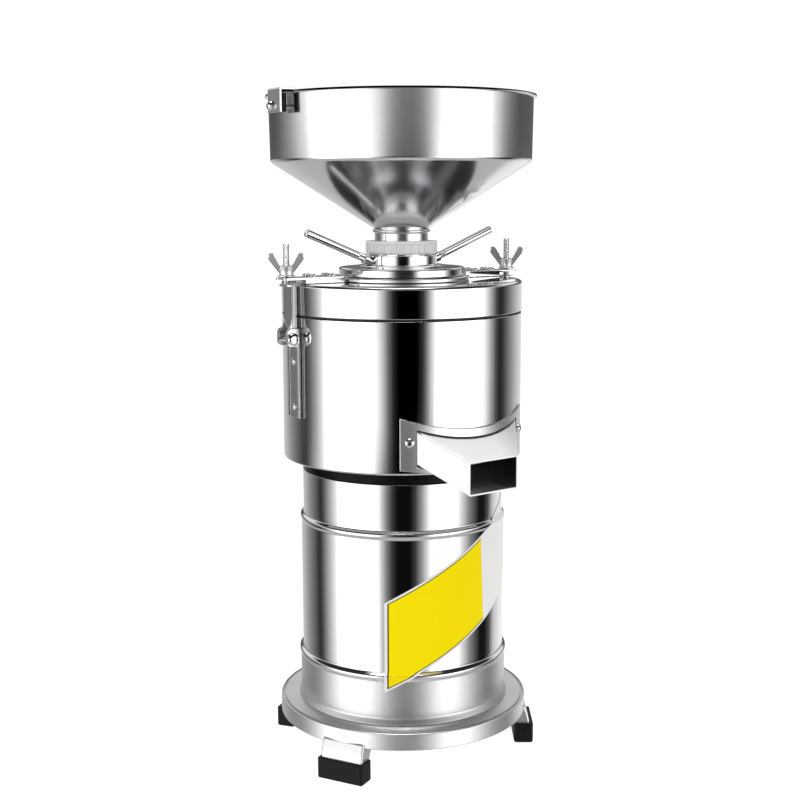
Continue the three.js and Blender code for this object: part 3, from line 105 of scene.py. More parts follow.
class Nodes:
    def __init__(self, tree):
        self.tree = tree
        tree.nodes.clear()

    def add(self, kind, settings=None, sockets=None, output=0):
        node = self.tree.nodes.new("ShaderNode" + kind)
        for key, value in (settings or {}).items():
            if key == "stops":
                ramp = node.color_ramp.elements
                while len(ramp) < len(value):
                    ramp.new(0.5)
                for stop, (at, colour) in zip(ramp, value):
                    stop.position, stop.color = at, (*colour, 1)
            else:
                setattr(node, key, value)
        for key, value in (sockets or {}).items():
            if isinstance(value, Wire):
                self.tree.links.new(value.socket, node.inputs[key])
            else:
                node.inputs[key].default_value = value
        return Wire(self, node.outputs[output]) if node.outputs else None

    def maths(self, operation, *values):
        return self.add("Math", {"operation": operation}, dict(enumerate(values)))

    def mix(self, share, first, second):
        return self.add("Mix", {"data_type": "RGBA"}, {0: share, 6: first, 7: second}, 2)

    def ease(self, value, low, high, start=0, end=1):
        sockets = {0: value, 1: low, 2: high, 3: start, 4: end}
        return self.add("MapRange", {"interpolation_type": "SMOOTHSTEP"}, sockets)

    def vector(self, operation, first, second=None, output=0):
        sockets = {0: first} if second is None else {0: first, 1: second}
        return self.add("VectorMath", {"operation": operation}, sockets, output)

    def part(self, place, axis):
        return self.add("SeparateXYZ", None, {"Vector": place}, axis)

    def bump(self, height, distance, strength=1, **more):
        return self.add("Bump", None, {"Strength": strength, "Distance": distance, "Height": height, **more})

    def noise(self, place, scale, detail=3, rough=0.5):
        sockets = {"Vector": place, "Scale": scale, "Detail": detail, "Roughness": rough}
        return self.add("TexNoise", None, sockets)


def newFinish(name):
    material = bpy.data.materials.new(name)
    material.use_nodes = True
    nodes = Nodes(material.node_tree)
    return material, nodes, nodes.add("TexCoord", output="Object")


def closeFinish(nodes, sockets):
    shader = nodes.add("BsdfPrincipled", None, sockets)
    nodes.add("OutputMaterial", None, {"Surface": shader})


def grey(level):
    return (level, level, level, 1)


# Turned and pressed metal: faint lines round the axis, hazy patches and a slight unevenness of the sheet
metalSet = {
    "drumSteel": {"tone": 0.76, "shine": 0.05, "haze": 0.03, "lines": 0.18, "wave": 0.15},
    "caseSteel": {
        "tone": 0.76, "shine": 0.06, "haze": 0.03, "lines": 0.2, "wave": 0.2, "satinBelow": (96, 99, 0.34),
    },
    "hopperSteel": {
        "tone": 0.76, "shine": 0.15, "haze": 0.04, "lines": 0.14, "wave": 0.2, "paintedShadeAbove": (639.1, 639.3),
    },
    "sheetSteel": {"tone": 0.8, "shine": 0.24, "haze": 0.08, "lines": 0.2, "wave": 0.5},
    "chuteSteel": {
        "tone": 0.86, "shine": 0.34, "haze": 0.08, "lines": 0.3, "wave": 0.4,
        "mattBeyond": (118.8, 119.6, 0.2), "paintedShadeAcross": (8, 50, 0.62),
    },
    "turnedSteel": {"tone": 0.78, "shine": 0.1, "haze": 0.06, "lines": 0.9, "wave": 0.1},
    "chromePlate": {"tone": 0.84, "shine": 0.05, "haze": 0.05, "lines": 0.1, "wave": 0.1},
    "bearingSteel": {"tone": 0.6, "shine": 0.18, "haze": 0.08, "lines": 0.6, "wave": 0.1},
}


def makeMetal(name, s):
    material, n, place = newFinish(name)
    lines = n.noise(n.add("Mapping", None, {"Vector": place, "Scale": (6, 6, 1400)}), 1, 4, 0.7)
    patches = n.noise(place, 14, 5, 0.6)
    sheet = n.noise(place, 9, 1)
    tone = s["tone"]
    bright, dull = (tone, tone, tone * 1.005, 1), (tone * 0.95, tone * 0.955, tone * 0.97, 1)
    rough = s["shine"] + (patches - 0.5) * s["haze"] + (lines - 0.5) * (0.05 * s["lines"])
    height = n.part(place, "Z")
    if "satinBelow" in s:  # the foot of the sheet is duller than the rest
        low, high, more = s["satinBelow"]
        rough = rough + n.ease(height, low * mm, high * mm, more, 0)
    colour = n.mix(n.ease(patches, 0.35, 0.65), bright, dull)
    if "paintedShadeAbove" in s:  # painted shade: the top of the rolled edge is coloured near-black, a painted dark reflection and shadow along the lip
        low, high = s["paintedShadeAbove"]
        colour = n.mix(n.ease(height, low * mm, high * mm), colour, grey(0.01))
    metal = 1
    if "mattBeyond" in s:  # the spout is brushed paler than its flange, and its colour is painted darker towards +X as painted shade
        start, full, least = s["mattBeyond"]
        flat = n.vector("MULTIPLY", n.vector("SUBTRACT", place, tuple(shaftAxis)), (1, 1, 0))
        out = n.ease(n.vector("LENGTH", flat, output=1), start * mm, full * mm)
        metal = n.ease(out, 0, 1, 1, least)
        # painted shade: the spout's colour darkens towards +X
        left, right, dim = s["paintedShadeAcross"]
        colour = n.mix(out * n.ease(n.part(flat, "X"), left * mm, right * mm), colour, grey(tone * dim))
    fine = n.bump(lines, 0.000012, s["lines"])
    closeFinish(n, {
        "Base Color": colour, "Metallic": metal, "Roughness": n.maths("MAXIMUM", rough, 0.02),
        "Normal": n.bump(sheet, 0.0004, s["wave"], Normal=fine),
    })
    return material


finishes = {name: makeMetal(name, s) for name, s in metalSet.items()}


# Cast, painted, moulded and bonded finishes: two shades, metal, roughness, grain, relief and gleam
plainSet = {
    "satinCast": ((0.78, 0.785, 0.79), (0.72, 0.725, 0.73), 0.95, 0.36, 900, 0.00003, 0.5),
    "castChrome": ((0.78, 0.785, 0.79), (0.66, 0.665, 0.67), 0.76, 0.2, 500, 0.00004, 0.5),
    "blackEnamel": ((0.004, 0.004, 0.005), (0.008, 0.008, 0.009), 0, 0.12, 160, 0.00001, 0.06),
    "blackRubber": ((0.004, 0.004, 0.005), (0.009, 0.009, 0.01), 0, 0.5, 700, 0.00006, 0.15),
    "softSeal": ((0.01, 0.01, 0.011), (0.02, 0.02, 0.022), 0, 0.55, 900, 0.00004, 0.5),
    "blackMoulding": ((0.01, 0.01, 0.011), (0.018, 0.018, 0.02), 0, 0.3, 1200, 0.00002, 0.5),
    "redMoulding": ((0.42, 0.02, 0.012), (0.34, 0.014, 0.01), 0, 0.28, 900, 0.00001, 0.5),
    "castIron": ((0.13, 0.135, 0.14), (0.07, 0.072, 0.075), 0.7, 0.55, 420, 0.00015, 0.5),
    "bondedStone": ((0.2, 0.185, 0.17), (0.08, 0.075, 0.07), 0, 0.85, 380, 0.0004, 0.5),
}


def makePlain(name, tone, shade, metal, rough, scale, relief, gleam):
    material, n, place = newFinish(name)
    grain = n.noise(place, scale, 3, 0.6)
    cloud = n.noise(place, 22, 4, 0.6)
    closeFinish(n, {
        "Base Color": n.mix(n.ease(grain * 0.6 + cloud * 0.4, 0.4, 0.62), (*tone, 1), (*shade, 1)),
        "Metallic": metal, "Roughness": rough + (cloud - 0.5) * 0.12, "Specular IOR Level": gleam,
        "Normal": n.bump(grain, relief),
    })
    return material


finishes.update({name: makePlain(name, *values) for name, values in plainSet.items()})


def makeNylon():
    material, n, place = newFinish("whiteNylon")
    cloud = n.noise(place, 60, 4, 0.6)
    closeFinish(n, {
        "Base Color": n.mix(cloud, (0.92, 0.92, 0.91, 1), (0.86, 0.86, 0.85, 1)),
        "Roughness": 0.32 + (cloud - 0.5) * 0.15, "Normal": n.bump(n.noise(place, 500, 2), 0.00005, 0.6),
        "Subsurface Weight": 0.35, "Subsurface Radius": (1, 1, 0.9), "Subsurface Scale": 0.003,
    })
    return material


def makeLaminations():
    material, n, place = newFinish("laminatedCore")
    sheet = n.ease(n.maths("SINE", n.part(place, "Z") * (math.tau / mm)), -0.6, 0.2)
    closeFinish(n, {
        "Base Color": n.mix(sheet, (0.09, 0.095, 0.11, 1), (0.32, 0.33, 0.35, 1)), "Metallic": 0.9,
        "Roughness": 0.5 - sheet * 0.12,
        "Normal": n.bump(sheet, 0.00015),
    })
    return material


def makeCopper():
    material, n, place = newFinish("woundCopper")
    turns = n.add(
        "TexWave", {"wave_type": "RINGS", "rings_direction": "Z"},
        {"Vector": place, "Scale": 160, "Distortion": 2, "Detail": 2}, 1,
    )
    closeFinish(n, {
        "Base Color": n.mix(turns, (0.28, 0.09, 0.03, 1), (0.72, 0.33, 0.14, 1)), "Metallic": 0.9,
        "Roughness": 0.42 - turns * 0.15,
        "Normal": n.bump(turns, 0.0003),
    })
    return material


finishes["whiteNylon"] = makeNylon()
finishes["laminatedCore"] = makeLaminations()
finishes["woundCopper"] = makeCopper()
print("finishes:", len(finishes))


# Forms. Each returns its own bmesh in millimetres.
def drawWire(points, closed=True):
    form = bmesh.new()
    ends = [form.verts.new((p[0], 0, p[1])) for p in points]
    for a, b in zip(ends, ends[1:] + (ends[:1] if closed else [])):
        form.edges.new((a, b))
    for end, p in zip(ends, points):
        if len(p) > 2:  # the third number rounds the corner
            bmesh.ops.bevel(
                form, geom=[end], offset=p[2], segments=max(3, min(10, round(p[2] * 3))), profile=0.5,
                affect="VERTICES", material=-1,
            )
    return form


def turned(points, steps=128, closed=True):
    form = drawWire(points, closed)
    bmesh.ops.spin(
        form, geom=form.verts[:] + form.edges[:], cent=(0, 0, 0), axis=(0, 0, 1), dvec=(0, 0, 0),
        angle=math.tau, steps=steps, use_merge=True,
    )
    return mend(form)


def solidTurned(points, steps):  # the points start and end on the axis
    return turned(points, steps, closed=False)


def mend(form, reach=0.0005):
    bmesh.ops.remove_doubles(form, verts=form.verts[:], dist=reach)
    bmesh.ops.recalc_face_normals(form, faces=form.faces[:])
    return form


def pushFaces(form, faces, move):
    made = bmesh.ops.extrude_face_region(form, geom=faces)["geom"]
    bmesh.ops.translate(form, vec=move, verts=[g for g in made if isinstance(g, bmesh.types.BMVert)])
    return [g for g in made if isinstance(g, bmesh.types.BMFace)]


def softenEdges(form, size, segments=2, sharp=30, wanted=None):
    form.normal_update()
    edges = [
        e for e in form.edges
        if len(e.link_faces) == 2 and e.calc_face_angle(0) > math.radians(sharp)
        and (wanted is None or wanted(e))
    ]
    bmesh.ops.bevel(
        form, geom=edges, offset=size, segments=segments, profile=0.5, affect="EDGES", clamp_overlap=True,
        material=-1,
    )
    return form


def plateForm(points, width, edge=0.3, segments=2):
    form = drawWire(points)
    bmesh.ops.edgeloop_fill(form, edges=form.edges[:])
    bmesh.ops.translate(form, vec=(0, -width / 2, 0), verts=form.verts[:])
    pushFaces(form, form.faces[:], (0, width, 0))
    mend(form)
    return softenEdges(form, edge, segments) if edge else form


def boxForm(low, high, edge=0.3, segments=2):
    form = bmesh.new()
    bmesh.ops.create_cube(form, size=1)
    bmesh.ops.scale(form, vec=[b - a for a, b in zip(low, high)], verts=form.verts[:])
    bmesh.ops.translate(form, vec=[(a + b) / 2 for a, b in zip(low, high)], verts=form.verts[:])
    return softenEdges(form, edge, segments) if edge else form


def moved(form, move=(0, 0, 0), turn=0, axis="Z"):
    rotation = Matrix.Rotation(math.radians(turn), 3, axis)
    bmesh.ops.rotate(form, verts=form.verts[:], cent=(0, 0, 0), matrix=rotation)
    bmesh.ops.translate(form, vec=move, verts=form.verts[:])
    return form


def laidOut(form, reach, height):  # a form made along Z points out along X
    return moved(form, (reach, 0, height), 90, "Y")


def joined(*forms):
    whole = bmesh.new()
    for form in forms:
        mesh = bpy.data.meshes.new("part")
        form.to_mesh(mesh)
        form.free()
        whole.from_mesh(mesh)
        bpy.data.meshes.remove(mesh)
    return whole


def carved(form, *cutters):
    hosts = []
    for shape in (form, *cutters):
        mesh = bpy.data.meshes.new("carve")
        shape.to_mesh(mesh)
        shape.free()
        host = bpy.data.objects.new("carve", mesh)
        stageItems.objects.link(host)
        hosts.append(host)
    for host in hosts[1:]:
        cut = hosts[0].modifiers.new("cut", "BOOLEAN")
        cut.object, cut.operation, cut.solver = host, "DIFFERENCE", "EXACT"
    bpy.context.view_layer.update()
    result = bmesh.new()
    result.from_object(hosts[0], bpy.context.evaluated_depsgraph_get())
    for host in hosts:
        mesh = host.data
        bpy.data.objects.remove(host)
        bpy.data.meshes.remove(mesh)
    bmesh.ops.remove_doubles(result, verts=result.verts[:], dist=0.001)
    return result


def threadForm(radius, depth, pitch, low, high, steps=18):
    form = bmesh.new()
    points = [(radius - depth, low), (radius, low + pitch / 2), (radius - depth, low + pitch)]
    ends = [form.verts.new((r, 0, z)) for r, z in points]
    edges = [form.edges.new(pair) for pair in zip(ends, ends[1:])]
    turns = max(1, round((high - low) / pitch) - 1)
    bmesh.ops.spin(
        form, geom=ends + edges, cent=(0, 0, 0), axis=(0, 0, 1), dvec=(0, 0, pitch / steps),
        angle=math.tau * turns, steps=turns * steps, use_merge=False,
    )
    mend(form, 0.01)
    core = radius - depth * 0.9
    return joined(form, solidTurned([(0, low), (core, low), (core, high, 0.4), (0, high)], steps))


def shadeEdges(form, sharp):
    # smooth, but for sharp edges and the borders of broad faces, which would look pillowed
    form.normal_update()
    areas = {f: f.calc_area() for f in form.faces}
    for face in form.faces:
        face.smooth = True
    for edge in form.edges:
        if len(edge.link_faces) == 2:
            bend = edge.calc_face_angle(0)
            small, large = sorted(areas[f] for f in edge.link_faces)
            edge.smooth = bend < math.radians(sharp) and (bend < 0.06 or large < 6 * small)


def addPiece(form, name, finish, body, stands=(), turn=0, sharp=32):
    shadeEdges(form, sharp)
    moved(form, turn=turn)
    bmesh.ops.scale(form, vec=(mm, mm, mm), verts=form.verts[:])
    bmesh.ops.translate(form, vec=shaftAxis, verts=form.verts[:])
    mesh = bpy.data.meshes.new(name)
    form.to_mesh(mesh)
    form.free()
    mesh.materials.append(finishes[finish])
    piece = bpy.data.objects.new(name, mesh)
    stageItems.objects.link(piece)
    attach(piece, body)
    if stands:
        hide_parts(*stands)
    return piece


# Screws, made along Z with the seat of the head at zero
screwSet = {"length": 9, "radius": 2, "head": 4.2, "height": 2.8, "slot": 0.5, "gap": 0.15}


def panScrew(s):
    radius, head, height = s["radius"], s["head"], s["height"]
    form = solidTurned([
        (0, -s["length"]), (radius, -s["length"], 0.3), (radius, 0), (head, 0, 0.25),
        (head, height * 0.45, 0.5), (head * 0.72, height * 0.9, 0.8), (0, height),
    ], 32)
    wide, thin, deep, high = head * 0.58, s["slot"], height * 0.75, height + 1
    slots = [boxForm((-a, -b, high - deep - 1), (a, b, high), 0) for a, b in ((wide, thin), (thin, wide))]
    return carved(form, *slots)


# Base casting with four sloping legs
baseSet = {
    "radius": 123.2, "top": 50, "bottom": 33.4, "groove": (119.2, 121.7, 3), "plate": 6, "wall": 6,
    "vent": 42, "legWidth": 44, "legReach": 127.9, "legRoot": 105.5, "legHeel": 115.7, "legTip": 23,
    "legBottom": 9.3, "legs": (-153.9, -36.7, 46.7, 122.7),
}


def makeBase(s):
    r, top, low = s["radius"], s["top"], s["bottom"]
    inner, outer, deep = s["groove"]
    under = top - s["plate"]
    disc = turned([
        (s["vent"], under), (r - s["wall"], under, 2), (r - s["wall"], low), (r, low, 0.8),
        (r, top, 1.2), (outer, top, 0.2), (outer, top - deep), (inner, top - deep), (inner, top, 0.2),
        (s["vent"], top, 1),
    ], 180)
    legs = [
        moved(plateForm([
            (s["legRoot"], under + 1.5), (s["legRoot"], low), (s["legHeel"], s["legBottom"], 1),
            (s["legReach"], s["legBottom"]), (s["legReach"], s["legTip"], 8), (r - 0.4, low + 4.5),
            (r - 4, low + 5.5), (r - 4, under + 1.5),
        ], s["legWidth"], 1.6, 4), turn=angle)
        for angle in s["legs"]
    ]
    return addPiece(joined(disc, *legs), "baseCasting", "satinCast", "root", ["base_casting"])


# Rubber shoes, each a cup over a leg's end
shoeSet = {
    "width": 48.6, "heel": 112, "reach": 131.2, "height": 20, "round": 2.6, "floor": 9, "gap": 0.3,
    "above": 52,
}


def makeShoe(s, legs, angle, number):
    gap, above, floor = s["gap"], s["above"], s["floor"]
    body = boxForm((s["heel"], -s["width"] / 2, 0), (s["reach"], s["width"] / 2, s["height"]), 0)
    softenEdges(body, s["round"], 5, 30, lambda e: abs(e.verts[0].co.z - e.verts[1].co.z) > 5)
    softenEdges(body, 1.6, 4, 60, lambda e: max(v.co.z for v in e.verts) < 0.1)
    softenEdges(body, 0.6, 3, 60, lambda e: min(v.co.z for v in e.verts) > s["height"] - 0.1)
    root, heel, reach = legs["legRoot"] - gap, legs["legHeel"] - gap, legs["legReach"] + gap
    pocket = plateForm([
        (root, above), (root, legs["bottom"] - gap), (heel, floor), (reach, floor), (reach, above),
    ], legs["legWidth"] + 2 * gap, 0)
    name, node = f"rubberShoe{number}", f"rubber_foot_{number}"
    return addPiece(carved(body, pocket), name, "blackRubber", "root", [node], angle)


makeBase(baseSet)
for number, angle in enumerate(baseSet["legs"], 1):
    makeShoe(shoeSet, baseSet, angle, number)
print("base and shoes")


# Motor case: a hem at the foot and two rolled beads
caseSet = {
    "bottom": 50.3, "top": 281.3, "wall": 1.5, "lower": 102.7, "middle": 100.5, "upper": 98.5, "hem": 6.2,
    "hemRise": 2.2, "beads": (97.4, 233.8), "beadHalf": 3.5, "beadRise": 1.2,
    "switchHole": (11.3, 18.3, 170.3), "glandHole": (7.8, 76.3), "back": 90,
}


def beadPoints(below, above, height, half, rise):
    return [
        (below, height - half - 0.6, 0.8), (below + rise, height - half * 0.45, 1.2),
        (below + rise, height + half * 0.45, 1.2), (above - 0.3, height + half, 0.8),
        (above, height + half + 2.5, 1),
    ]


def makeCase(s):
    low, high = s["beads"]
    half, rise, wall, bottom, top = s["beadHalf"], s["beadRise"], s["wall"], s["bottom"], s["top"]
    lower, middle, upper = s["lower"], s["middle"], s["upper"]
    form = turned([
        (lower - wall, bottom), (lower + s["hemRise"], bottom, 0.3),
        (lower + s["hemRise"], bottom + 0.9, 0.4), (lower, bottom + s["hem"], 1),
        *beadPoints(lower, middle, low, half, rise), *beadPoints(middle, upper, high, half, rise),
        (upper, top, 0.3), (upper - wall, top), (upper - wall, high + 1), (middle - wall, high - 1),
        (middle - wall, low + 1), (lower - wall, low - 1),
    ], 192)
    halfWidth, halfHeight, centre = s["switchHole"]
    radius, height = s["glandHole"]
    switchHole = boxForm((85, -halfWidth, centre - halfHeight), (110, halfWidth, centre + halfHeight), 0)
    glandHole = laidOut(solidTurned([(0, -10), (radius, -10), (radius, 10), (0, 10)], 32), 102, height)
    form = carved(form, moved(switchHole, turn=s["back"]), moved(glandHole, turn=s["back"]))
    return addPiece(form, "motorCase", "caseSteel", "root", ["motor_case"])


# Black flange between case and drum
flangeSet = {
    "radius": 98, "bottom": 281.6, "top": 293.9, "bore": 20.3, "neckOuter": 70, "neckInner": 65,
    "neckFoot": 230.9, "shaftHole": 14.6, "hub": 24.8, "hubFoot": 261.6, "hubFloor": 265,
}


def makeFlange(s):
    r, bottom, top, bore, hub = s["radius"], s["bottom"], s["top"], s["bore"], s["hub"]
    form = turned([
        (s["neckInner"], s["neckFoot"]), (s["neckOuter"], s["neckFoot"]), (s["neckOuter"], bottom, 1.5),
        (r, bottom, 0.6), (r, top - 3.4, 0.3), (r - 0.6, top - 3, 0.2), (r - 0.6, top, 0.4), (bore, top, 0.5),
        (bore, s["hubFloor"]), (s["shaftHole"], s["hubFloor"]), (s["shaftHole"], s["hubFoot"]),
        (hub, s["hubFoot"]), (hub, bottom, 1), (s["neckInner"], bottom, 1),
    ], 160)
    return addPiece(form, "topFlange", "blackEnamel", "root", ["motor_top_flange"])


makeCase(caseSet)
makeFlange(flangeSet)
print("motor case")


# Grinding drum, its outlet and the spout screwed over it
drumSet = {"radius": 116.7, "bottom": 294.2, "top": 434.4, "wall": 1.8, "floor": 3, "seal": 26}
chuteSet = {
    "seat": 117, "wall": 1.5, "flangeSpread": 37.6, "flangeLow": (299, 4.5), "flangeHigh": (347, 12),
    "inletSpread": 31, "inletLow": 305, "inletHigh": 336.6, "inletDips": (5.5, 10), "drop": 27.5,
    "reach": 140, "mouthHalf": 29, "corner": 1.6, "columns": 24, "screwSpread": 33.3, "screwHeight": 325,
    "gap": 1.8, "lap": 2.6, "fit": 0.05, "slitShadow": 0.8,
}


def blockForm(columns, place):
    # a block of unit depth and height, two wide, bent by place(across, depth, height)
    form = bmesh.new()
    bmesh.ops.create_grid(form, x_segments=columns, y_segments=1, size=1)
    pushFaces(form, form.faces[:], (0, 0, 1))
    for vert in form.verts:
        vert.co = place(vert.co.x, (vert.co.y + 1) / 2, vert.co.z)
    return mend(form)


def dipAt(angle, spread, depth):
    # how far an edge that slopes outwards lies lower in its middle than at its ends
    side = math.cos(math.radians(spread))
    return depth * (math.cos(math.radians(angle)) - side) / (1 - side)


def spoutForm(s, trim, start, end, corner=0):
    spread, mouth = s["inletSpread"] - math.degrees(trim / s["seat"]), s["mouthHalf"] - trim

    def place(across, depth, height):
        angle, t = across * spread, start + (end - start) * depth
        x, y = s["seat"] * math.sin(math.radians(angle)), -s["seat"] * math.cos(math.radians(angle))
        z = s["inletLow"] + trim + height * (s["inletHigh"] - s["inletLow"] - 2 * trim)
        low, high = s["inletDips"]
        return (
            x + (across * mouth - x) * t, y + (-s["reach"] - y) * t,
            z - s["drop"] * t - dipAt(angle, s["inletSpread"], low + (high - low) * height) * (1 - t),
        )

    form = blockForm(s["columns"], place)
    if corner:
        softenEdges(form, corner, 4, 50, lambda e: abs(e.verts[0].co.y - e.verts[1].co.y) > 8)
    return form


def sectorForm(s, inner, outer, low, high, spread, corner=0):
    # a curved plate on the drum, centred on the spout's side; low and high give height and dip
    def place(across, depth, height):
        angle, radius = across * spread, inner + (outer - inner) * depth
        ends = [edge[0] - dipAt(angle, s["flangeSpread"], edge[1]) for edge in (low, high)]
        return (
            radius * math.sin(math.radians(angle)), -radius * math.cos(math.radians(angle)),
            ends[0] + (ends[1] - ends[0]) * height,
        )

    form = blockForm(48, place)
    return softenEdges(form, corner, 3, 50) if corner else form


def makeDrum(s, chute):
    r, wall, low, top = s["radius"], s["wall"], s["bottom"], s["top"]
    form = turned([
        (s["seal"], low), (r, low, 2), (r, top, 0.35), (r - wall, top, 0.35),
        (r - wall, low + s["floor"], 1.5), (s["seal"], low + s["floor"]),
    ], 192)
    form = carved(form, spoutForm(chute, chute["wall"], -0.5, 1.2))
    return addPiece(form, "drumShell", "drumSteel", "root", ["grinding_drum"])


def makeChute(s):
    seat = s["seat"]
    plate = sectorForm(s, seat, seat + s["wall"], s["flangeLow"], s["flangeHigh"], s["flangeSpread"], 0.4)
    plate = carved(plate, spoutForm(s, -s["gap"], -0.5, 0.5))
    drum = solidTurned([(0, 240), (seat + s["fit"], 240), (seat + s["fit"], 380), (0, 380)], 192)
    spout = carved(spoutForm(s, 0, -0.3, 1, s["corner"]), spoutForm(s, s["wall"], -0.5, 1.3), drum)
    for face in spout.faces:  # the bore keeps the sheet's own polish
        centre = face.calc_center_median()
        t = (-centre.y - seat) / (s["reach"] - seat)
        middle = (s["inletLow"] + s["inletHigh"] - s["inletDips"][0] * (1 - t)) / 2 - s["drop"] * t
        if face.normal.x * centre.x + face.normal.z * (centre.z - middle) < -3 and abs(face.normal.y) < 0.9:
            face.material_index = 1
    form = joined(plate, spout)
    piece = addPiece(
        form, "dischargeChute", "chuteSteel", "root", ["discharge_chute"], sharp=40,
    )
    piece.data.materials.append(finishes["sheetSteel"])
    return piece


def makeSlitShadow(s):
    # a black strip in the slit between flange and spout, painted shadow standing in for the shaded gap
    edges = (s["inletLow"] - s["lap"], s["inletDips"][0]), (s["inletHigh"] + s["lap"], s["inletDips"][1])
    strip = sectorForm(s, s["seat"] + s["fit"], s["seat"] + s["slitShadow"], *edges, s["inletSpread"] + 1.4)
    form = carved(strip, spoutForm(s, s["fit"], -0.5, 0.6))
    return addPiece(form, "spoutSlitShadow", "blackRubber", "root")


def makeChuteScrew(s, number, angle):
    form = laidOut(panScrew(screwSet), s["seat"] + s["wall"] + screwSet["gap"], s["screwHeight"])
    name, node = f"chuteScrew{number}", f"chute_screw_{number}"
    return addPiece(form, name, "chromePlate", "root", [node], angle)


makeDrum(drumSet, chuteSet)
makeChute(chuteSet)
makeSlitShadow(chuteSet)
for number, side in ((1, -1), (2, 1)):
    makeChuteScrew(chuteSet, number, -90 + side * chuteSet["screwSpread"])
print("drum and spout")


# Lid with its seal, and the discs on it
lidSet = {
    "radius": 117, "bottom": 436.5, "top": 465.3, "wall": 2.2, "deck": 3, "round": 2.6, "hole": 38,
    "seal": (110.7, 115.7, 434.7, 436.2), "flange": (66, 465.6, 469.6),
    "boss": (61, 469.9, 478, 33, 37.7, 439.3),
}


def makeLid(s):
    r, low, top = s["radius"], s["bottom"], s["top"]
    shell = turned([
        (r - s["wall"], low, 0.3), (r, low, 0.5), (r, top, s["round"]), (s["hole"], top, 0.4),
        (s["hole"], top - s["deck"]), (r - s["wall"], top - s["deck"], 2),
    ], 192)
    addPiece(shell, "lidShell", "drumSteel", "root", ["lid"])
    inner, outer, bottom, ceiling = s["seal"]
    ring = turned([
        (inner, bottom, 0.5), (outer, bottom, 0.5), (outer, ceiling, 0.5), (inner, ceiling, 0.5),
    ], 128)
    addPiece(ring, "lidSeal", "softSeal", "root", ["lid_seal_ring"])
    radius, bottom, ceiling = s["flange"]
    disc = turned([
        (s["hole"], bottom), (radius, bottom, 0.5), (radius, ceiling, 1.1), (s["hole"], ceiling),
    ], 160)
    addPiece(disc, "lidFlange", "turnedSteel", "root", ["lid_flange"])
    radius, bottom, ceiling, bore, tube, foot = s["boss"]
    boss = turned([
        (bore, foot), (tube, foot, 0.6), (tube, bottom), (radius, bottom, 0.8), (radius, ceiling, 1.6),
        (bore, ceiling, 0.6),
    ], 160)
    addPiece(boss, "threadedBoss", "turnedSteel", "root", ["threaded_boss"])


# Adjusting collar and its two handles
collarSet = {
    "low": 478.6, "top": 489.3, "base": 42, "crown": 34.2, "boss": 5.2, "bossLength": 9, "bore": 28.8,
    "spigot": 32.7, "foot": 435.3, "handle": 3.8, "start": 33.5, "seat": 483.9, "end": 102, "rise": 22.5,
    "angles": (172.5, -7.5),
}


def handleForm(s, radius, start, end, corner):
    rise = math.radians(s["rise"])
    length = (s["end"] - s["start"]) / math.cos(rise)
    form = solidTurned([(0, start), (radius, start), (radius, length + end, corner), (0, length + end)], 40)
    return moved(form, (s["start"], 0, s["seat"]), 90 - s["rise"], "Y")


def makeCollar(s):
    low, top, bore = s["low"], s["top"], s["bore"]
    form = turned([
        (bore, s["foot"]), (s["spigot"], s["foot"], 0.5), (s["spigot"], low), (s["base"], low, 0.4),
        (s["base"], low + 1.4, 0.5), (s["crown"], low + 1.6, 0.6), (s["crown"], top, 0.5), (bore, top, 0.4),
    ], 128)
    past = (s["start"] - s["end"]) / math.cos(math.radians(s["rise"])) + s["bossLength"]

    def socket(angle):
        return moved(handleForm(s, s["handle"] + 0.3, -2, 0, 0), turn=angle)

    form = carved(form, *[socket(angle) for angle in s["angles"]])
    bosses = [moved(handleForm(s, s["boss"], -1.5, past, 0.6), turn=angle) for angle in s["angles"]]
    bosses = [carved(boss, socket(angle)) for boss, angle in zip(bosses, s["angles"])]
    whole = joined(form, *bosses)
    return addPiece(whole, "adjustingCollar", "chromePlate", "adjuster", ["adjusting_collar"])


def makeHandle(s, number, angle):
    radius = s["handle"]
    thread = threadForm(radius + 0.1, 0.6, 1.25, 5, 16, 20)
    root = moved(thread, (s["start"], 0, s["seat"]), 90 - s["rise"], "Y")
    form = joined(handleForm(s, radius - 0.5, 0, -80, 0), handleForm(s, radius, 15.5, 0, 0.7), root)
    name, node = f"adjustingHandle{number}", f"adjusting_handle_{number}"
    return addPiece(form, name, "chromePlate", "adjuster", [node], angle)


makeLid(lidSet)
makeCollar(collarSet)
for number, angle in enumerate(collarSet["angles"], 1):
    makeHandle(collarSet, number, angle)
print("lid and adjuster")


# Union nut with ribs between two smooth rims
nutSet = {
    "low": 490.5, "top": 503, "radius": 35, "ribs": 30, "ribDepth": 1, "ribRadius": 1.25, "bore": 28.8,
    "lipBore": 26.3, "lip": 4.7, "rim": 2.6,
}


def makeUnionNut(s):
    low, top, r, thick = s["low"], s["top"], s["radius"], s["ribRadius"]
    rim, root = top - s["rim"], r - s["ribDepth"]
    forms = [turned([
        (s["bore"], low, 0.3), (r - 1.8, low, 0.6), (root, low + 1.6, 0.5), (root, rim, 0.2),
        (r, rim + 0.3, 0.3), (r, top, 0.9), (s["lipBore"], top, 0.4), (s["lipBore"], top - s["lip"]),
        (s["bore"], top - s["lip"]),
    ], 120)]
    for i in range(s["ribs"]):
        rib = solidTurned([
            (0, low + 1.2, 0.3), (thick, low + 1.2, 0.5), (thick, rim + 0.5), (0, rim + 0.5),
        ], 12)
        bmesh.ops.scale(rib, vec=(1, 1.25, 1), verts=rib.verts[:])
        forms.append(moved(moved(rib, (root - 0.3, 0, 0)), turn=360 * i / s["ribs"]))
    return addPiece(joined(*forms), "unionNut", "whiteNylon", "union_nut", ["union_nut"])


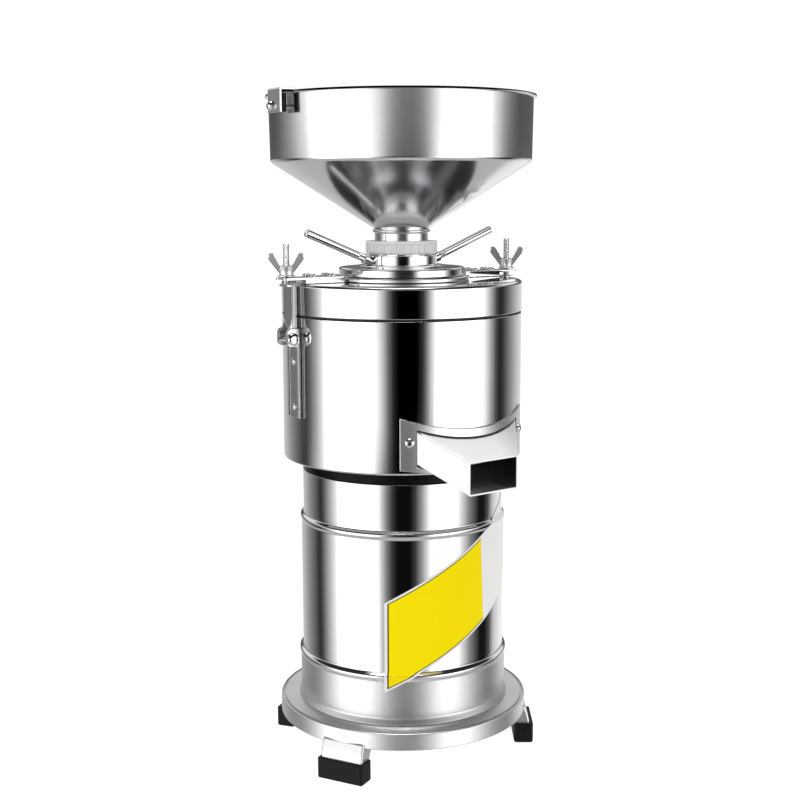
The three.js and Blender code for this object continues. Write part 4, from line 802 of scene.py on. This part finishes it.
# Hopper: neck, cone, band and rolled lip in one sheet
hopperSet = {
    "neck": 26, "bore": 22.5, "neckFoot": 494.5, "neckFlange": 28.5, "neckFlangeTop": 498, "neckTop": 510.5,
    "bead": 27.2, "coneLow": 514.5, "coneTop": 578, "lowerRadius": 125.5, "upperRadius": 126.6, "top": 640.6,
    "wall": 1.5, "lip": 130, "lipThick": 1.8,
}


def makeHopper(s):
    neck, bore, wall, low, top = s["neck"], s["bore"], s["wall"], s["coneLow"], s["top"]
    slope = (s["coneTop"] - low) / (s["lowerRadius"] - neck)
    rise = wall * math.hypot(1, slope)
    form = turned([
        (bore, s["neckFoot"]), (s["neckFlange"], s["neckFoot"], 0.3),
        (s["neckFlange"], s["neckFlangeTop"], 0.3), (neck, s["neckFlangeTop"]), (neck, s["neckTop"], 0.3),
        (s["bead"] + 0.6, s["neckTop"] + 0.8, 0.6), (s["bead"] + 0.6, low - 1.2, 1),
        (neck + 0.4, low + 0.2, 0.6), (s["lowerRadius"], s["coneTop"], 2.2),
        (s["upperRadius"], top - s["lipThick"], 0.9), (s["lip"], top - s["lipThick"] - 0.7, 0.3),
        (s["lip"] - 0.8, top, 0.5), (s["upperRadius"] - wall, top, 0.8),
        (s["lowerRadius"] - wall, s["coneTop"] + rise - slope * wall, 2),
        (bore, low + rise + slope * (bore - neck)),
    ], 192)
    return addPiece(form, "hopperShell", "hopperSteel", "stone_lift", ["hopper"])


# Bracket hooked over the lip, and its round-head screw
rimSet = {
    "angle": 175.5, "width": 24, "shift": 5, "sheet": 2, "inner": 124.2, "reach": 138.5, "top": 640.9,
    "drop": 20, "screwDrop": 13.8, "shadowBlock": 131.6, "shadowBlockWidth": 5,
}


def makeRimBracket(s):
    inner, reach, sheet, top = s["inner"], s["reach"], s["sheet"], s["top"]
    low = top - s["drop"]
    form = plateForm([
        (inner - sheet, top - s["drop"] * 0.7), (inner, top - s["drop"] * 0.7), (inner, top, 0.5),
        (reach - sheet, top, 0.5), (reach - sheet, low), (reach, low), (reach, top + sheet, 1.6),
        (inner - sheet, top + sheet, 1.6),
    ], s["width"], 0.35)
    moved(form, (0, s["shift"], 0))
    addPiece(form, "rimBracket", "sheetSteel", "stone_lift", ["rim_bracket"], s["angle"])
    near = s["shift"] + s["width"] / 2 - 0.3
    # painted shadow: a black block fills the gap between the bracket's plate and the band, where there is
    # only shade
    shadowBlock = boxForm((s["shadowBlock"], near - s["shadowBlockWidth"], low + 0.3), (reach - sheet - 0.1, near, top - 3.2), 0.4)
    addPiece(shadowBlock, "rimShadowBlock", "blackRubber", "stone_lift", turn=s["angle"])


def makeRimScrew(s):
    shank = threadForm(2, 0.3, 0.7, -11, 0, 14)
    head = solidTurned([(0, 0), (4.5, 0, 0.3), (4.3, 2.2, 1), (2.6, 3.8, 1), (0, 4)], 36)
    form = laidOut(joined(shank, head), s["reach"] + screwSet["gap"], s["top"] - s["screwDrop"])
    return addPiece(form, "rimScrew", "chromePlate", "rim_screw", ["rim_screw"], s["angle"])


makeUnionNut(nutSet)
makeHopper(hopperSet)
makeRimBracket(rimSet)
makeRimScrew(rimSet)
print("hopper and union nut")


# Lid clamps, modelled along X and turned to each side
clampSet = {
    "angles": (174.7, -5.3), "pivot": (125, 414.7), "armLow": 465.6, "armTop": 471.6, "armStart": 68,
    "blockEnd": 110, "armEnd": 132, "armWidth": 20, "tip": 2.5, "slot": 4.2,
    "screws": ((81, -6), (81, 6), (101, -6), (101, 6)), "bracketWidth": 22, "bracketLow": 339.7,
    "bracketTop": 424.7, "bracketSheet": 2.2, "lip": 3.2, "earReach": 130.6, "earHeight": 17,
    "rivetDrops": (22, 65), "linkWidth": 16.6, "linkInner": 119, "linkOuter": 124.4, "linkSheet": 2,
    "linkTop": 465.6, "stud": 3.25, "studTop": 502.6, "washer": (8, 472.4, 473.9), "wingTop": 494.9,
    "wingTurn": -31, "wingSheet": 3, "seat": 117, "pin": 3, "head": 6,
}


def makeArm(s):
    half, slot, reach = s["armWidth"] / 2, s["slot"], s["pivot"][0]
    form = drawWire([
        (s["armStart"], -half, 1.5), (s["armEnd"], -half, 3), (s["armEnd"], -slot, 0.8),
        (reach - slot, -slot, 4.1), (reach - slot, slot, 4.1), (s["armEnd"], slot, 0.8),
        (s["armEnd"], half, 3), (s["armStart"], half, 1.5),
    ])
    bmesh.ops.edgeloop_fill(form, edges=form.edges[:])
    everything = form.verts[:] + form.edges[:] + form.faces[:]
    bmesh.ops.bisect_plane(form, geom=everything, plane_co=(s["blockEnd"], 0, 0), plane_no=(1, 0, 0))
    moved(form, (0, 0, s["armTop"]), -90, "X")
    deck = pushFaces(form, form.faces[:], (0, 0, -s["tip"]))
    under = [f for f in deck if f.calc_center_median().x < s["blockEnd"]]
    pushFaces(form, under, (0, 0, s["armLow"] + s["tip"] - s["armTop"]))
    bmesh.ops.recalc_face_normals(form, faces=form.faces[:])
    return softenEdges(form, 0.35, 2)


def sidePlates(points, half, sheet):
    return [moved(plateForm(points, sheet, 0.4), (0, side * (half - sheet / 2), 0)) for side in (-1, 1)]


def makeBracket(s):
    inner, half, sheet = s["seat"], s["bracketWidth"] / 2, s["bracketSheet"]
    low, top, ear = s["bracketLow"], s["bracketTop"], s["bracketTop"] - s["earHeight"]
    web = boxForm((inner, -half, low), (inner + sheet, half, top), 0.4)
    sides = sidePlates([
        (inner, low), (inner + s["lip"], low, 1.5), (inner + s["lip"], ear, 2), (s["earReach"], ear, 4.5),
        (s["earReach"], top, 5), (inner, top),
    ], half, sheet)
    rivets = []
    for drop in s["rivetDrops"]:
        rivet = solidTurned([(0, 0), (3.4, 0), (3.3, 0.7, 0.4), (1.6, 1.5, 0.6), (0, 1.6)], 28)
        rivets.append(laidOut(rivet, inner + sheet, s["pivot"][1] - drop))
    return joined(web, *sides, *rivets)


def makePivot(s):
    half, pin, head = s["bracketWidth"] / 2, s["pin"], s["head"]
    form = solidTurned([
        (0, -half - 3.2), (pin, -half - 3.2, 0.4), (pin, half + 0.2), (head, half + 0.2, 0.3),
        (head, half + 2.6, 0.8), (3.8, half + 4.2, 0.8), (0, half + 4.4),
    ], 40)
    return moved(form, (s["pivot"][0], 0, s["pivot"][1]), -90, "X")


def makeSwingBolt(s):
    x, z = s["pivot"]
    inner, outer, sheet, top = s["linkInner"], s["linkOuter"], s["linkSheet"], s["linkTop"]
    half = s["linkWidth"] / 2
    web = boxForm((outer - sheet, -half, z + 8), (outer, half, top), 0.4)
    sides = sidePlates([
        (inner, z + 5), (x - 5, z - 2, 1), (x - 3, z - 5, 2), (x + 3.5, z - 5, 3), (x + 6, z, 3),
        (x + 5.4, z + 6, 3), (outer, z + 13, 6), (outer, top), (inner, top),
    ], half, sheet)
    bridge = boxForm((inner, -half, top - 2.5), (x + 3.6, half, top), 0.5)
    stud = moved(threadForm(s["stud"], 0.45, 1.05, top - 2, s["studTop"], 20), (x, 0, 0))
    return joined(web, *sides, bridge, stud)


def wingForm(s):
    bottom, top = s["washer"][2], s["wingTop"]
    form = plateForm([
        (3.6, bottom + 1.2), (6.4, bottom + 1.4, 0.5), (15.9, top - 7.4, 2), (17.6, top - 4.4, 2.2),
        (16, top - 0.6, 2.6), (12, top - 0.2, 2.6), (8.4, top - 5.5, 3), (5.2, bottom + 9.2, 1),
        (3.6, bottom + 8),
    ], s["wingSheet"], 0)
    form.normal_update()
    for face in [f for f in form.faces if abs(f.normal.y) > 0.9]:
        bmesh.ops.inset_region(form, faces=[face], thickness=1.1, depth=-0.7, use_even_offset=True)
    return softenEdges(form, 0.35, 2, 40)


def makeWingNut(s):
    radius, low, bottom = s["washer"]
    washer = turned([(3.4, low), (radius, low, 0.4), (radius, bottom, 0.4), (3.4, bottom)], 48)
    hub = turned([
        (3.5, bottom), (6.5, bottom, 0.4), (6.4, bottom + 3, 1), (5.3, bottom + 9, 0.8), (3.5, bottom + 9),
    ], 40)
    wings = [moved(wingForm(s), turn=turn) for turn in (0, 180)]
    return moved(joined(washer, hub, *wings), (s["pivot"][0], 0, 0), s["wingTurn"])


def makeClamp(s, number, angle):
    for make, name, stem, finish, slot, moves in (
        (makeArm, "clampArm", "clamp_arm", "sheetSteel", "polished_steel", False),
        (makeBracket, "clampBracket", "clamp_bracket", "sheetSteel", "polished_steel", False),
        (makePivot, "clampPivot", "clamp_pivot", "chromePlate", "chrome", False),
        (makeSwingBolt, "swingBolt", "swing_bolt", "sheetSteel", "polished_steel", True),
        (makeWingNut, "wingNut", "wing_nut", "castChrome", "chrome", True),
    ):
        node = f"{stem}_{number}"
        body = node if moves else "root"
        addPiece(make(s), f"{name}{number}", finish, body, [node], angle)
    for mark, (x, y) in zip("abcd", s["screws"]):
        screw = moved(panScrew(screwSet), (x, y, s["armTop"] + screwSet["gap"]))
        node = f"arm_screw_{number}{mark}"
        addPiece(screw, f"armScrew{number}{mark}", "chromePlate", "root", [node], angle)


for number, angle in enumerate(clampSet["angles"], 1):
    makeClamp(clampSet, number, angle)
print("clamps")


# Sticker round the case: yellow field with a dark outline and a white border
stickerSet = {
    "radius": 104.1, "start": -136.5, "end": -43, "low": 81.8, "slope": 0.54, "height": 87, "sheet": 0.3,
    "lift": 0.2, "reach": 5.5, "border": 3, "squeeze": 1.4, "outline": 1.5, "plain": -76.5,
}


def makeStickerFinish(s):
    material, n, place = newFinish("printedVinyl")
    width = math.radians(s["end"] - s["start"]) * s["radius"]
    across = n.add("UVMap", {"uv_map": "print"})
    u, v = n.part(across, "X") * width, n.part(across, "Y") * s["height"]
    # the border is narrower along the top and foot than at the ends
    ends = n.maths("MINIMUM", u, width - u)
    inset = n.maths("MINIMUM", ends, n.maths("MINIMUM", v, s["height"] - v) * s["squeeze"])
    plainFrom = math.radians(s["plain"] - s["start"]) * s["radius"]
    start, end = s["border"], s["border"] + s["outline"]
    field = n.ease(inset, start, start + 0.15) * n.ease(u + v * 0.05, plainFrom, plainFrom + 0.4, 1, 0)
    line = n.ease(inset, start, start + 0.1) * n.ease(inset, end, end + 0.1, 1, 0)
    cloud = n.noise(place, 120, 3)
    ink = n.mix(cloud, (0.82, 0.66, 0, 1), (0.8, 0.64, 0, 1))
    colour = n.mix(field, (0.72, 0.72, 0.71, 1), ink)
    closeFinish(n, {
        "Base Color": n.mix(line * field, colour, (0.05, 0.05, 0.008, 1)),
        "Roughness": 0.4 + (cloud - 0.5) * 0.1, "Specular IOR Level": 0.04,
        "Normal": n.bump(n.noise(place, 260, 3), 0.00003, 0.4),
    })
    return material


finishes["printedVinyl"] = makeStickerFinish(stickerSet)


def sheetRadius(s, height):
    # the case's outside, with the vinyl drawn straight over both flanks of a bead
    radius = s["lower"]
    for bead, below, above in zip(s["beads"], (s["lower"], s["middle"]), (s["middle"], s["upper"])):
        t = (height - bead) / stickerSet["reach"]
        if t > 1:
            radius = above
        elif t > -1:
            peak = below + s["beadRise"]
            base = max(below, above) if t < 0 else above
            radius = peak + (base - peak) * (3 * t * t - 2 * abs(t) ** 3)
    return radius


def makeSticker(s):
    form = bmesh.new()
    bmesh.ops.create_grid(form, x_segments=90, y_segments=64, size=0.5)
    chart = form.loops.layers.uv.new("print")
    for face in form.faces:
        for loop in face.loops:
            loop[chart].uv = (loop.vert.co.x + 0.5, loop.vert.co.y + 0.5)
    for vert in form.verts:
        along, up = vert.co.x + 0.5, vert.co.y + 0.5
        turn = math.radians((s["end"] - s["start"]) * along)
        angle = math.radians(s["start"]) + turn
        height = s["low"] + s["slope"] * s["radius"] * turn + s["height"] * up
        radius = sheetRadius(caseSet, height) + s["lift"]
        vert.co = (radius * math.cos(angle), radius * math.sin(angle), height)
    bmesh.ops.recalc_face_normals(form, faces=form.faces[:])
    piece = addPiece(form, "caseSticker", "printedVinyl", "root", ["case_sticker"])
    wall = piece.modifiers.new("sheet", "SOLIDIFY")
    wall.thickness, wall.offset = s["sheet"] * mm, 0
    return piece


makeSticker(stickerSet)
print("sticker")


# Switch, rocker and gland at the back
backSet = {
    "angle": 90, "frame": (15, 22), "body": (11, 18), "opening": (9.4, 15.7), "height": 170.3, "face": 104.3,
    "seat": 100.8, "depth": 84.8, "rocker": (10, 12, 18), "rockerTilt": 8, "gland": (103, 76.3),
}


def makeSwitch(s):
    z = s["height"]

    def block(half, near, far, edge, segments=2):
        return boxForm((near, -half[0], z - half[1]), (far, half[0], z + half[1]), edge, segments)

    bezel = carved(block(s["frame"], s["seat"], s["face"], 1.4, 4), block(s["opening"], 80, 120, 0.6))
    opening = block(s["opening"], s["depth"] + 2, 120, 0.6)
    body = carved(block(s["body"], s["depth"], s["seat"] + 0.5, 0.4), opening)
    whole, angle = joined(bezel, body), s["angle"]
    addPiece(whole, "switchFrame", "blackMoulding", "root", ["switch_frame"], angle)
    drop, half, width = s["rocker"]
    rocker = plateForm([
        (-4, -3, 1), (-4, 3, 1), (drop - 3, half, 0.6), (drop, half, 0.8), (drop - 2, 0, 6),
        (drop, -half, 0.8), (drop - 3, -half, 0.6),
    ][::-1], width, 0.7, 3)
    moved(rocker, (s["face"] - drop, 0, z), s["rockerTilt"], "Y")
    node = "switch_rocker"
    addPiece(rocker, "switchRocker", "redMoulding", node, [node], angle)


def makeGland(s):
    form = turned([
        (3.6, -7), (7.5, -7, 0.4), (7.5, 0), (9.5, 0, 0.4), (9.5, 6.6, 0.8), (7.6, 8.4, 0.8), (7, 14, 1.6),
        (3.6, 14, 0.8),
    ], 48)
    form = laidOut(form, *s["gland"])
    return addPiece(form, "cableGland", "blackMoulding", "root", ["cable_gland"], s["angle"])


makeSwitch(backSet)
makeGland(backSet)
print("switch and gland")


# Inner pieces keep their CAD shape and get their finish
innerFinishes = {
    "castIron": ["lower_end_bell"],
    "satinCast": ["motor_frame"],
    "bearingSteel": ["lower_bearing", "upper_bearing", "motor_shaft"],
    "laminatedCore": ["stator_core", "rotor_core"],
    "woundCopper": ["stator_winding"],
    "blackMoulding": ["run_capacitor", "cooling_fan"],
    "softSeal": ["shaft_seal"],
    "turnedSteel": ["lower_stone_carrier", "feed_screw", "upper_stone_carrier"],
    "bondedStone": ["lower_stone", "upper_stone"],
}
for finish, names in innerFinishes.items():
    for name in names:
        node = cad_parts[name]
        node.data.materials.clear()
        node.data.materials.append(finishes[finish])
print("inner finishes")


# Studio: a white floor, and a room with tall soft panels and dark flags between them
studioSet = {
    "floor": 0.12, "floorSize": 12, "floorGlow": 1, "room": 1.05, "fill": 1, "front": -126.5,
    # turn round the mill from the camera's side, to the right, and brightness there, at three heights
    "under": [
        (-180, 0.75), (-150, 0.55), (-132, 0.3), (-120, 0.16), (-110, 0.04), (-105, 0.06), (-99, 0.22),
        (-90, 0.62), (-82, 1.1), (-74, 2.2), (-32, 2.2), (-24, 0.85), (-18, 0.28), (-12, 0.05), (-6, 0.005),
        (9, 0.005), (15, 0.06), (22, 0.4), (29, 1.05), (37, 2.2), (60, 2.2), (69, 1.1), (75, 0.7), (82, 0.3),
        (90, 0.12), (98, 0.01), (108, 0.01), (117, 0.1), (129, 0.75), (145, 1), (180, 1),
    ],
    "level": [
        (-180, 0.75), (-150, 0.55), (-132, 0.3), (-120, 0.16), (-111, 0.08), (-103, 0.07), (-97, 0.18),
        (-89, 0.5), (-82, 1), (-74, 2.2), (-32, 2.2), (-23, 1.25), (-18, 0.72), (-13, 0.2), (-8, 0.02),
        (-3, 0), (15, 0), (20, 0.04), (23, 0.22), (26, 0.58), (31, 1.3), (37, 2.2), (76, 2.2), (86, 1.1),
        (93, 0.5), (100, 0.1), (106, 0.02), (112, 0.05), (120, 0.18), (139, 0.58), (156, 0.8), (180, 0.8),
    ],
    "above": [
        (-180, 0.16), (-154, 0.1), (-139, 0.1), (-128, 0.16), (-119, 0.28), (-111, 0.42), (-103, 0.65),
        (-96, 0.92), (-88, 1.2), (-80, 2), (-38, 2), (-29, 1.38), (-24, 1.3), (-20, 1.14), (-15, 0.86),
        (-11, 0.6), (-6, 0.4), (0, 0.28), (10, 0.25), (15, 0.32), (20, 0.45), (24, 0.66), (29, 1), (34, 1.32),
        (41, 2), (78, 2), (85, 1.1), (91, 0.82), (97, 0.5), (108, 0.22), (122, 0.1), (180, 0.14),
    ],
    # angle from the way in which the funnel's underside mirrors the camera, and brightness there
    "beneath": [(0, 0.14), (13, 0.09), (26, 0.06), (31, 0.2), (38, 0.38), (60, 0.55)],
    "beneathWay": 5.4, "glance": (0.579, 0.907), "flag": 0.03, "back": 0.9, "roof": 11, "rampTop": 4,
}


def lightRoom(s):
    world = bpy.data.worlds.new("room")
    world.use_nodes = True
    bpy.context.scene.world = world
    n = Nodes(world.node_tree)
    way = n.add("TexCoord", output="Generated")
    side = math.radians(s["front"])

    def along(x, y, z):  # x to the camera, y to its right, z up
        axis = (x * math.cos(side) - y * math.sin(side), x * math.sin(side) + y * math.cos(side), z)
        return n.vector("DOT_PRODUCT", way, axis, 1)

    def ring(stops, value, span):
        steps = [(a / span, (b / s["rampTop"],) * 3) for a, b in stops]
        ramp = n.add("ValToRGB", {"stops": steps}, {0: value})
        return n.add("VectorMath", {"operation": "SCALE"}, {0: ramp, 3: s["rampTop"]})

    degrees = 180 / math.pi
    up = n.maths("ARCSINE", along(0, 0, 1)) * degrees
    turn = n.maths("ARCTAN2", along(0, 1, 0), along(1, 0, 0)) / math.tau + 0.5
    rear = n.ease(n.maths("ABSOLUTE", turn - 0.5), 0.24, 0.36)
    low, level, high = [
        ring([(a + 180, b) for a, b in s[key]], turn, 360) for key in ("under", "level", "above")
    ]
    middle, (flat, steep) = math.radians(s["beneathWay"]), s["glance"]
    ahead, aside = math.cos(middle), math.sin(middle)
    down = Vector((flat * ahead ** 2 - 1, flat * ahead * aside, -steep * ahead))
    off = n.maths("ARCCOSINE", along(*down.normalized())) * degrees
    colour = n.mix(n.ease(up, -13, -9), low, level)
    colour = n.mix(n.ease(up, -3, 1), colour, high)
    colour = n.mix(n.ease(up, -34, -26), ring(s["beneath"], off, 60), colour)
    upper = n.mix(rear * n.ease(up, 28, 38, 1, 0), grey(s["flag"]), grey(s["back"]))
    colour = n.mix(n.ease(up, 10, 17), colour, upper)
    colour = n.mix(n.ease(up, 70, 77), colour, grey(s["roof"]))
    colour = n.mix(n.add("LightPath", output="Is Diffuse Ray"), colour, grey(s["fill"]))
    colour = n.mix(n.add("LightPath", output="Is Camera Ray"), colour, grey(s["room"]))
    n.add("OutputWorld", None, {"Surface": n.add("Background", None, {"Color": colour, "Strength": 1})})


def layFloor(s):
    material, n, place = newFinish("paleFloor")
    tone = n.mix(n.noise(place, 3, 3), grey(s["floor"]), grey(s["floor"] * 0.99))
    closeFinish(n, {
        "Base Color": tone, "Roughness": 0.9, "Specular IOR Level": 0,
        "Emission Color": grey(1), "Emission Strength": s["floorGlow"],
    })
    form = bmesh.new()
    bmesh.ops.create_grid(form, x_segments=4, y_segments=4, size=s["floorSize"])
    mesh = bpy.data.meshes.new("floor")
    form.to_mesh(mesh)
    form.free()
    mesh.materials.append(material)
    floor = bpy.data.objects.new("floor", mesh)
    stageItems.objects.link(floor)
    floor.location = (0, 0, -0.0004)
    floor.visible_glossy = False


lightRoom(studioSet)
layFloor(studioSet)
print("studio")
